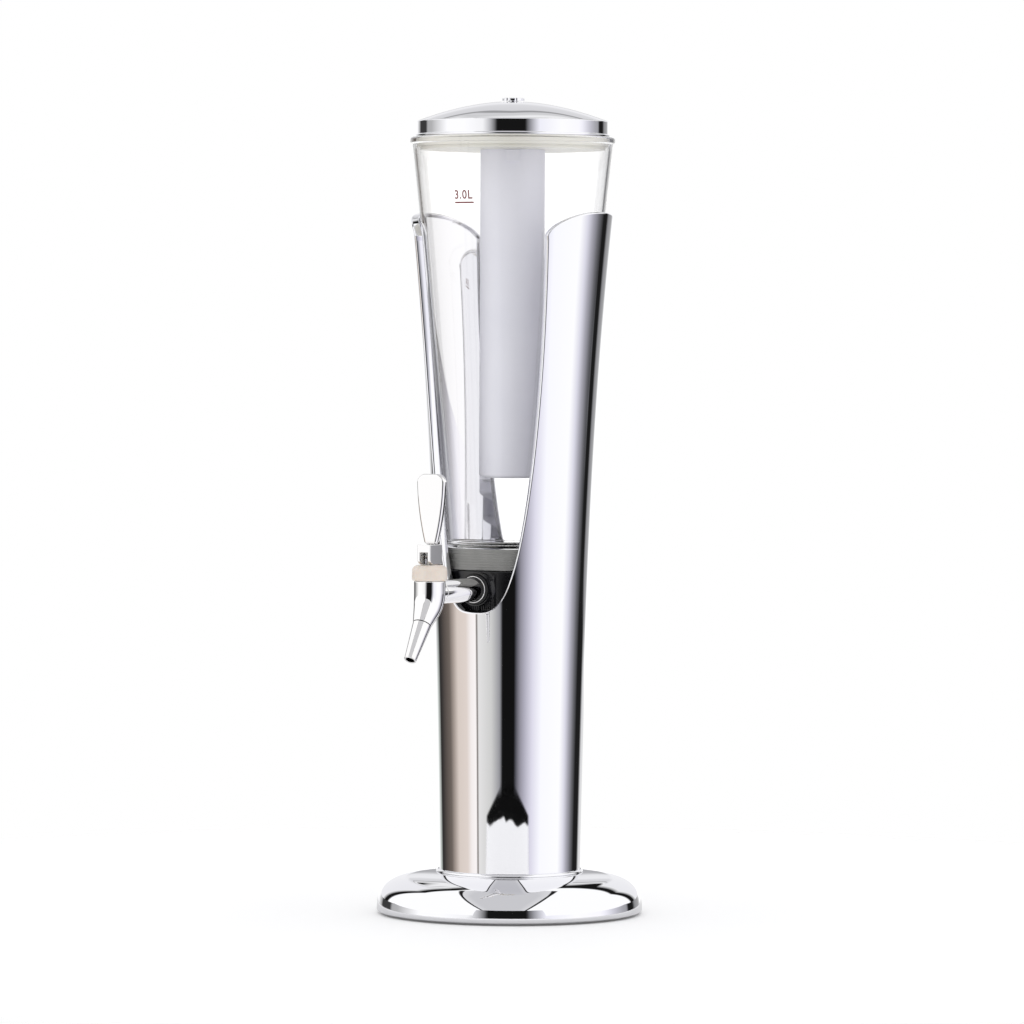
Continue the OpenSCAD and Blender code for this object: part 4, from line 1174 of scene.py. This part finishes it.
def vent_cap():
    cap_r, low_z, top_z, dip_r, dip_z, flutes_n, flute_r = 8.9, 629.3, 631.5, 4.0, 631.0, 8, 1.6
    knob = [(0, low_z, 0), (cap_r, low_z, 0.3), (cap_r, top_z, 0.6)]
    knob += [(dip_r + 0.5, top_z, 0.3), (dip_r, dip_z, 0.3), (0, dip_z, 0)]
    cap = spin("vent_cap_plated", fillet(knob), MIDDLING)
    flutes = []
    for k in range(flutes_n):
        angle = math.tau * k / flutes_n
        x, y = 9.7 * math.cos(angle), 9.7 * math.sin(angle)
        flutes.append(rod("vent_flute", (x, y, low_z - 1.3), (x, y, top_z + 1.5), flute_r, 32))
    cap = joined("DIFFERENCE", cap, *flutes)
    # The stem has a groove for the clip that holds it in the lid
    stem_r, stem_z, groove_r, groove_z, groove_top = 3.5, 623.3, 3.0, 625.15, 626.85
    outline = [(0, stem_z, 0), (stem_r, stem_z, 0.4), (stem_r, groove_z, 0), (groove_r, groove_z, 0)]
    outline += [(groove_r, groove_top, 0), (stem_r, groove_top, 0), (stem_r, 630, 0), (0, 630, 0)]
    cap = joined("UNION", cap, spin("vent_stem", fillet(outline), BORE))
    smoothed(cap.data, 35)
    finish_piece(cap, "vent", CHROME, "plated_plastic", "vent_cap")


def ice_tube():
    outer_r, inner_r, low_z, floor_z, top_z = 25, 23, 338.3, 340.3, 601.3
    groove_r, groove_z, groove_top = 23.85, 591.75, 593.65
    outline = [(0, low_z, 0), (outer_r, low_z, 3), (outer_r, groove_z, 0), (groove_r, groove_z, 0)]
    outline += [(groove_r, groove_top, 0), (outer_r, groove_top, 0), (outer_r, top_z, 0.5)]
    outline += [(inner_r, top_z, 0.5), (inner_r, floor_z, 2), (0, floor_z, 0)]
    tube = spin("ice_tube_frosted", fillet(outline), 192)
    # Two grip lugs stand across from each other, and two pegs a quarter turn from them
    rooted_r, lug_r, lug_half, lug_z, lug_top = 24.0, 27.4, 5.5, 582.3, 591.3
    peg_r, peg_end, peg_z = 1.4, 26.4, 597.7
    extras = []
    for turn in (28.0, 208.0):
        a = math.radians(turn)
        out = Vector((math.sin(a), -math.cos(a), 0))
        side = Vector((math.cos(a), math.sin(a), 0))
        places = ((-lug_half, rooted_r), (lug_half, rooted_r), (lug_half, lug_r), (-lug_half, lug_r))
        corners = [out * r + side * s for s, r in places]
        rings = [[c + Vector((0, 0, z)) for c in corners] for z in (lug_z, lug_top)]
        extras.append(bevelled(loft("tube_lug", rings, sharp=30), 0.8, 3))
        peg = Vector((0, 0, peg_z))
        extras.append(rod("tube_peg", peg + side * rooted_r, peg + side * peg_end, peg_r, 32))
    finish_piece(gathered(tube, *extras), "ice_tube", FROSTED, "frosted_plastic", "ice_tube")


# CAD nodes that stay as they are and get their own material

KEPT_NODES = {
    "base_plate": MATT_BLACK,
    "ballast_ring": IRON,
    "cup_washer": STEEL,
    "cup_nut": MATT_BLACK,
    "tank_seal": SILICONE,
    "shank_washer": STEEL,
    "shank_nut": BRASS,
    "bonnet_bush": BRASS,
    "stem_seal": RUBBER,
    "valve_seal": SILICONE,
    "return_spring": STEEL,
    "lever_pin": STEEL,
    "handle_stud": STEEL,
    "lid_plug": IVORY,
    "lid_seal": IVORY,
    "vent_clip": STEEL,
    "ice_tube_seal": RUBBER,
}


def dress_kept_nodes():
    for name, material in KEPT_NODES.items():
        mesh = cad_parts[name].data
        mesh.materials.clear()
        mesh.materials.append(material)
        mesh.polygons.foreach_set("material_index", [0] * len(mesh.polygons))
        smoothed(mesh, 30)


# Studio

VIEW_TURN = math.radians(CAMERA_AZIMUTH)
VIEW_FRONT = (math.sin(VIEW_TURN), -math.cos(VIEW_TURN), 0.0)
VIEW_RIGHT = (math.cos(VIEW_TURN), math.sin(VIEW_TURN), 0.0)
# How far a place or direction lies towards the camera and to its right, and its angle from the camera's side
VIEW_ROWS = [
    ("ahead", "VectorMath DOT_PRODUCT", "place", VIEW_FRONT),
    ("aside", "VectorMath DOT_PRODUCT", "place", VIEW_RIGHT),
    ("angle", "Math ARCTAN2", "aside", "ahead"),
]
# For each kind of node in a list of steps: its setting, its inputs in order and its output
NODE_WAYS = {
    "Math": ("operation", (0, 1, 2), "Value"),
    "VectorMath": ("operation", (0, 1), "Value"),
    "MapRange": ("interpolation_type", range(5), "Result"),
    "Mix": ("data_type", ("Factor", "A", "B"), "Result"),
}


def chain(tree, known, rows):
    """Adds a node for each row of a name, a kind with its setting, and inputs. A text input names what is
    known or an earlier row. Map ranges take value, from, from, to, to, and mixes share, first, second."""
    for name, way, *inputs in rows:
        kind, choice = way.split()
        setting, sockets, gives = NODE_WAYS[kind]
        values = [known[value] if isinstance(value, str) else value for value in inputs]
        made = add(tree, "ShaderNode" + kind, dict(zip(sockets, values)), **{setting: choice})
        known[name] = made.outputs[gives]


def studio_floor():
    """A pale matt table top that fades out to the white behind it. Mirrors see it only near the base and
    in front, where the room's dark card ends on it."""
    corners_n, table_r = 96, 2400.0
    turns = [math.tau * k / corners_n for k in range(corners_n)]
    points = [(r * math.cos(a), r * math.sin(a), 0.0) for r in (1, table_r) for a in turns]
    faces = []
    for k in range(corners_n):
        n = (k + 1) % corners_n
        faces.append([k, n, corners_n + n, corners_n + k])
    faces.append(list(range(corners_n))[::-1])
    made = mesh_object("studio_floor", points, faces, outward=False)
    # Pale matt paint on a board: off-white, dull, and lit a little from itself so that it meets the white
    white = colour("#ffffff")
    material = finish_of("Studio_table_pale_matt_paint", "#f6f6f6", rough=0.6, Emission_Color=white)
    tree = material.node_tree
    shader = tree.nodes["Principled BSDF"]
    place = tree.nodes["Texture Coordinate"].outputs["Object"]
    known = {
        "place": place,
        "mirror_ray": add(tree, "ShaderNodeLightPath").outputs["Is Glossy Ray"],
        "ragged_edge": surface_pattern(tree, place, "lumps", 190, 1.0),
    }
    near_turn, far_turn, tip_turn = math.radians(46), math.radians(31), math.radians(9)
    rows = [
        ("distance", "VectorMath LENGTH", "place"),
        # The part beside the card, outside a sector that gets narrower with the distance
        ("middle", "Math SUBTRACT", "angle", math.radians(-3.5)),
        ("off", "Math ABSOLUTE", "middle"),
        ("near_half", "MapRange LINEAR", "distance", 0.3, 0.7, near_turn, far_turn),
        ("far_half", "MapRange LINEAR", "distance", 0.7, 0.9, far_turn, tip_turn),
        ("half", "Math MINIMUM", "near_half", "far_half"),
        ("past", "Math SUBTRACT", "off", "half"),
        ("beside", "MapRange LINEAR", "past", 0.0, math.radians(3), 0.0, 1.0),
        ("away", "MapRange LINEAR", "distance", 0.2, 0.24, 0.0, 1.0),
        # Seen in mirrors only: the foot of the dark card, painted into the table as a painted reflection, and
        # a painted soft shadow near the base
        ("ragged", "Math MULTIPLY_ADD", "ragged_edge", 0.2, "distance"),
        ("card_foot", "MapRange LINEAR", "ragged", 0.755, 0.77, 1.0, 0.0),
        ("shade", "MapRange LINEAR", "distance", 0.15, 0.3, 0.72, 1.0),
        ("paint", "Math MULTIPLY", "card_foot", "shade"),
        ("seen", "Mix FLOAT", "mirror_ray", 1.0, "paint"),
        ("table", "Mix RGBA", "seen", colour("#101010"), colour("#f6f6f6")),
        ("glow", "Math MULTIPLY", "seen", 0.1),
        ("sheen", "Math MULTIPLY", "seen", 0.2),
        # The fade to white, which mirrors see a little further out
        ("further", "Math MULTIPLY_ADD", "mirror_ray", -0.14, "distance"),
        ("fade", "MapRange SMOOTHSTEP", "further", 0.68, 0.8, 0.0, 1.0),
        ("hidden_beside", "Math MULTIPLY", "beside", "away"),
        ("hidden_mirrored", "Math MULTIPLY", "hidden_beside", "mirror_ray"),
        ("hidden", "Math MAXIMUM", "hidden_mirrored", "fade"),
    ]
    chain(tree, known, VIEW_ROWS + rows)
    uses = {"table": "Base Color", "glow": "Emission Strength", "sheen": "Specular IOR Level"}
    for name, socket in uses.items():
        tree.links.new(known[name], shader.inputs[socket])
    clear = add(tree, "ShaderNodeBsdfTransparent").outputs["BSDF"]
    mixed = add(tree, "ShaderNodeMixShader", {0: known["hidden"], 1: shader.outputs["BSDF"], 2: clear})
    tree.links.new(mixed.outputs["Shader"], tree.nodes["Material Output"].inputs["Surface"])
    made.data.materials.append(material)


# Brightness of the studio round the tower. Degrees run from the camera's direction, positive to its right.
# The low bands show in the column, which leans and looks down, and the level bands in upright faces.
LOW_BANDS = [
    (-180, "#ffffff"),
    (-160, "#f4f6f4"),
    (-150, "#b9beb9"),
    (-144, "#8d918d"),
    (-141, "#2c2a29"),
    (-133, "#3a3735"),
    (-120, "#5a524d"),
    (-108, "#6e655e"),
    (-98, "#ab9f96"),
    (-89, "#d8ccc2"),
    (-72, "#dfd3ca"),
    (-64, "#f4eeea"),
    (-55, "#fbf6f3"),
    (-53.6, "#77716c"),
    (-52.4, "#77716c"),
    (-51, "#e4e3e1"),
    (-30, "#cfcfcc"),
    (-16.5, "#96969a"),
    (-12.5, "#121212"),
    (6, "#121212"),
    (9, "#505058"),
    (15, "#908e98"),
    (22, "#b0aebb"),
    (35, "#dfdde9"),
    (50, "#fbfbff"),
    (85, "#ffffff"),
    (96, "#dddce6"),
    (106, "#a6a5ae"),
    (117, "#68686c"),
    (127, "#1e1e1e"),
    (143, "#1e1e1e"),
    (153, "#d8d8d8"),
]
LEVEL_BANDS = [
    (-180, "#ffffff"),
    (-160, "#f4f4f4"),
    (-148, "#a5a5a5"),
    (-145, "#3a3a3a"),
    (-127, "#3a3a3a"),
    (-123, "#adadad"),
    (-114, "#b1b1b1"),
    (-106, "#cacaca"),
    (-98, "#dfdfdf"),
    (-85, "#ffffff"),
    (-60, "#ffffff"),
    (-36, "#f4f4f4"),
    (-28, "#c0c0c2"),
    (-19, "#161616"),
    (15, "#161616"),
    (24, "#b4b4ba"),
    (32, "#efeff6"),
    (60, "#ffffff"),
    (86, "#fbfafe"),
    (92, "#f0eff6"),
    (100, "#d6d5dd"),
    (108, "#bdbcc4"),
    (116, "#a8a8ad"),
    (123, "#9c9ca0"),
    (126, "#1c1c1c"),
    (136, "#1c1c1c"),
    (141, "#8c8c8e"),
    (152, "#a4a4a4"),
    (160, "#ffffff"),
    (180, "#ffffff"),
]
# Brightness of the ceiling behind the tower: each step is a number of times further out than its front edge
CEILING_BANDS = [
    (0.9, "#ffffff"),
    (1.0, "#161616"),
    (1.25, "#161616"),
    (1.42, "#b8b8b8"),
    (1.62, "#efefef"),
    (1.7, "#e3e3e3"),
    (1.8, "#c6c6c7"),
    (1.86, "#d0d0d1"),
    (1.92, "#cdcdcf"),
    (1.97, "#989899"),
    (2.1, "#989899"),
    (2.18, "#d0d0d2"),
    (3.2, "#d4d4d6"),
    (4.5, "#e6e6e8"),
    (8.0, "#e0e0e2"),
    (12.0, "#a8a8ab"),
    (40.0, "#98989b"),
]
CEILING_REACH = 64.0
# Brightness of the wall in front, from outside its slanting edges to its middle
WALL_BANDS = [
    (0.38, "#ffffff"),
    (0.43, "#222222"),
    (0.54, "#222222"),
    (0.57, "#d9d9da"),
    (1.0, "#c8c8ca"),
]

# The share of a full turn, and the ceiling as a flat plan: how far aside and how far ahead a direction
# meets it, in heights
PLAN_ROWS = [
    ("around", "MapRange LINEAR", "angle", -math.pi, math.pi, 0.0, 1.0),
    ("up", "Math MAXIMUM", "height", 0.01),
    ("plan_x", "Math DIVIDE", "aside", "up"),
    ("plan_y", "Math DIVIDE", "ahead", "up"),
    ("out_x", "Math ABSOLUTE", "plan_x"),
    ("out_y", "Math ABSOLUTE", "plan_y"),
]
# Behind the tower the ceiling's bands run along its front edge. Further out, over the lid, they bend the
# other way
CEILING_ROWS = [
    ("flat_edge", "MapRange LINEAR", "plan_x", -0.33, 0.33, -0.555, -0.93),
    ("far_edge", "Math SUBTRACT", 0.2, "out_x"),
    ("card_edge", "Math MINIMUM", "flat_edge", "far_edge"),
    ("outward", "MapRange LINEAR", "plan_y", -1.0, -1.7, 0.0, 1.0),
    ("narrow", "MapRange LINEAR", "out_x", 0.42, 0.5, 1.0, 0.0),
    ("over_lid", "Math MULTIPLY", "outward", "narrow"),
    ("square", "Math MULTIPLY", "plan_x", "plan_x"),
    ("slow", "Math ADD", "out_x", 0.04),
    ("rise", "Math DIVIDE", "square", "slow"),
    ("bow", "Math MULTIPLY", "rise", 2.3),
    ("bowed_y", "Math MULTIPLY_ADD", "bow", "over_lid", "plan_y"),
    ("middle_edge", "MapRange LINEAR", "over_lid", 0.0, 1.0, 0.0, -0.7425),
    ("side_share", "Math SUBTRACT", 1.0, "over_lid"),
    ("edge", "Math MULTIPLY_ADD", "card_edge", "side_share", "middle_edge"),
    ("edges_out", "Math DIVIDE", "bowed_y", "edge"),
    ("times", "Math MAXIMUM", "edges_out", 0.5),
    ("steps_out", "Math LOGARITHM", "times", CEILING_REACH),
    ("ceiling_share", "Math ADD", "steps_out", 0.1),
    ("beyond", "Math GREATER_THAN", "times", 1.62),
    ("wide", "Math SUBTRACT", 1.0, "narrow"),
    ("plain", "Math MULTIPLY", "beyond", "wide"),
]
# The grey wall in front stands between two slanting edges, with a thin dark gap along each
WALL_ROWS = [
    ("left_line", "Math MULTIPLY_ADD", "plan_y", -0.326, -0.4375),
    ("right_line", "Math MULTIPLY_ADD", "plan_y", 0.164, 0.343),
    ("inside_left", "Math SUBTRACT", "plan_x", "left_line"),
    ("inside_right", "Math SUBTRACT", "right_line", "plan_x"),
    ("inside", "Math MINIMUM", "inside_left", "inside_right"),
    ("reach", "Math ADD", "out_y", 1.0),
    ("inside_share", "Math DIVIDE", "inside", "reach"),
    ("front_part", "Math GREATER_THAN", "plan_y", -0.5),
    ("wall_share", "MapRange LINEAR", "inside_share", -0.1, 0.1, 0.0, 1.0),
]
# Which of the three a direction meets: above, level or low. Steeply down it is the level one again
LEVEL_ROWS = [
    ("over_card", "Math GREATER_THAN", "ahead", 0.85),
    ("card_top", "MapRange LINEAR", "over_card", 0.0, 1.0, 0.07, 0.235),
    ("high", "Math GREATER_THAN", "height", "card_top"),
    ("above_low", "MapRange LINEAR", "height", -0.071, -0.065, 0.0, 1.0),
    ("steep", "Math LESS_THAN", "height", -0.35),
    ("not_low", "Math MAXIMUM", "above_low", "steep"),
]
# Mirrors see the bands, the clear tank mostly white, dull surfaces even light, and the camera plain white
RAY_ROWS = [
    ("ceiling_seen", "Mix RGBA", "plain", "ceiling", colour("#e9e9eb")),
    ("above", "Mix RGBA", "front_part", "ceiling_seen", "wall"),
    ("upper", "Mix RGBA", "high", "level", "above"),
    ("mirrored", "Mix RGBA", "not_low", "low", "upper"),
    ("through", "Math MULTIPLY", "through_ray", 0.8),
    ("behind", "Mix RGBA", "through", "mirrored", (0.96, 0.96, 0.96, 1.0)),
    ("dull", "Mix RGBA", "dull_ray", "behind", (1.05, 1.05, 1.06, 1.0)),
    ("shown", "Mix RGBA", "camera_ray", "dull", (1.0, 1.0, 1.0, 1.0)),
    ("mirror_boost", "Math MULTIPLY_ADD", "mirror_ray", 0.16, 1.0),
    ("boost", "Math MULTIPLY_ADD", "through_ray", 0.14, "mirror_boost"),
]


def studio_world():
    """Soft studio round the tower: white side screens with dark gaps, a pale ceiling, and white behind."""
    world = bpy.data.worlds.new("Studio")
    world.use_nodes = True
    world.cycles.sampling_method = "NONE"
    bpy.context.scene.world = world
    tree = world.node_tree
    background = tree.nodes["Background"]
    direction = add(tree, "ShaderNodeTexCoord").outputs["Generated"]
    rays = add(tree, "ShaderNodeLightPath").outputs
    known = {
        "place": direction,
        "height": add(tree, "ShaderNodeSeparateXYZ", {"Vector": direction}).outputs["Z"],
        "mirror_ray": rays["Is Glossy Ray"],
        "through_ray": rays["Is Transmission Ray"],
        "dull_ray": rays["Is Diffuse Ray"],
        "camera_ray": rays["Is Camera Ray"],
    }
    chain(tree, known, VIEW_ROWS + PLAN_ROWS + CEILING_ROWS + WALL_ROWS + LEVEL_ROWS)
    for name, share, stops in (
        ("low", "around", [((a + 180) / 360, code) for a, code in LOW_BANDS]),
        ("level", "around", [((a + 180) / 360, code) for a, code in LEVEL_BANDS]),
        ("ceiling", "ceiling_share", [(math.log(q, CEILING_REACH) + 0.1, code) for q, code in CEILING_BANDS]),
        ("wall", "wall_share", WALL_BANDS),
    ):
        ramp = add(tree, "ShaderNodeValToRGB", {"Fac": known[share]})
        places = ramp.color_ramp.elements
        while len(places) < len(stops):
            places.new(1.0)
        for place, (position, code) in zip(places, stops):
            place.position = position
            place.color = colour(code)
        known[name] = ramp.outputs["Color"]
    chain(tree, known, RAY_ROWS)
    tree.links.new(known["shown"], background.inputs["Color"])
    tree.links.new(known["boost"], background.inputs["Strength"])


def studio_camera():
    towards_x, towards_y, _ = VIEW_FRONT
    place = Vector((towards_x * CAMERA_DISTANCE, towards_y * CAMERA_DISTANCE, CAMERA_HEIGHT)) * MM
    aim = (Vector(VIEW_RIGHT) * CAMERA_AIM[0] + Vector((0, 0, CAMERA_AIM[1]))) * MM
    data = bpy.data.cameras.new("Camera")
    data.sensor_width = CAMERA_SENSOR
    data.lens = CAMERA_LENS
    data.clip_end = CAMERA_REACH
    made = own_object("Camera", data)
    look = (aim - place).to_track_quat("-Z", "Y").to_matrix().to_4x4()
    made.matrix_world = Matrix.Translation(place) @ look @ Matrix.Rotation(math.radians(CAMERA_ROLL), 4, "Z")
    bpy.context.scene.camera = made


base_cover()
column_ring()
column_shell()
column_inside()
small_stand_parts()
outlet_cup()
tank()
fill_mark()
tap_pieces()
shank_pieces()
collar_and_stem()
lever_yoke()
handle()
lid()
vent_cap()
ice_tube()
dress_kept_nodes()
studio_floor()
studio_world()
studio_camera()
bpy.context.scene.view_settings.view_transform = "Standard"
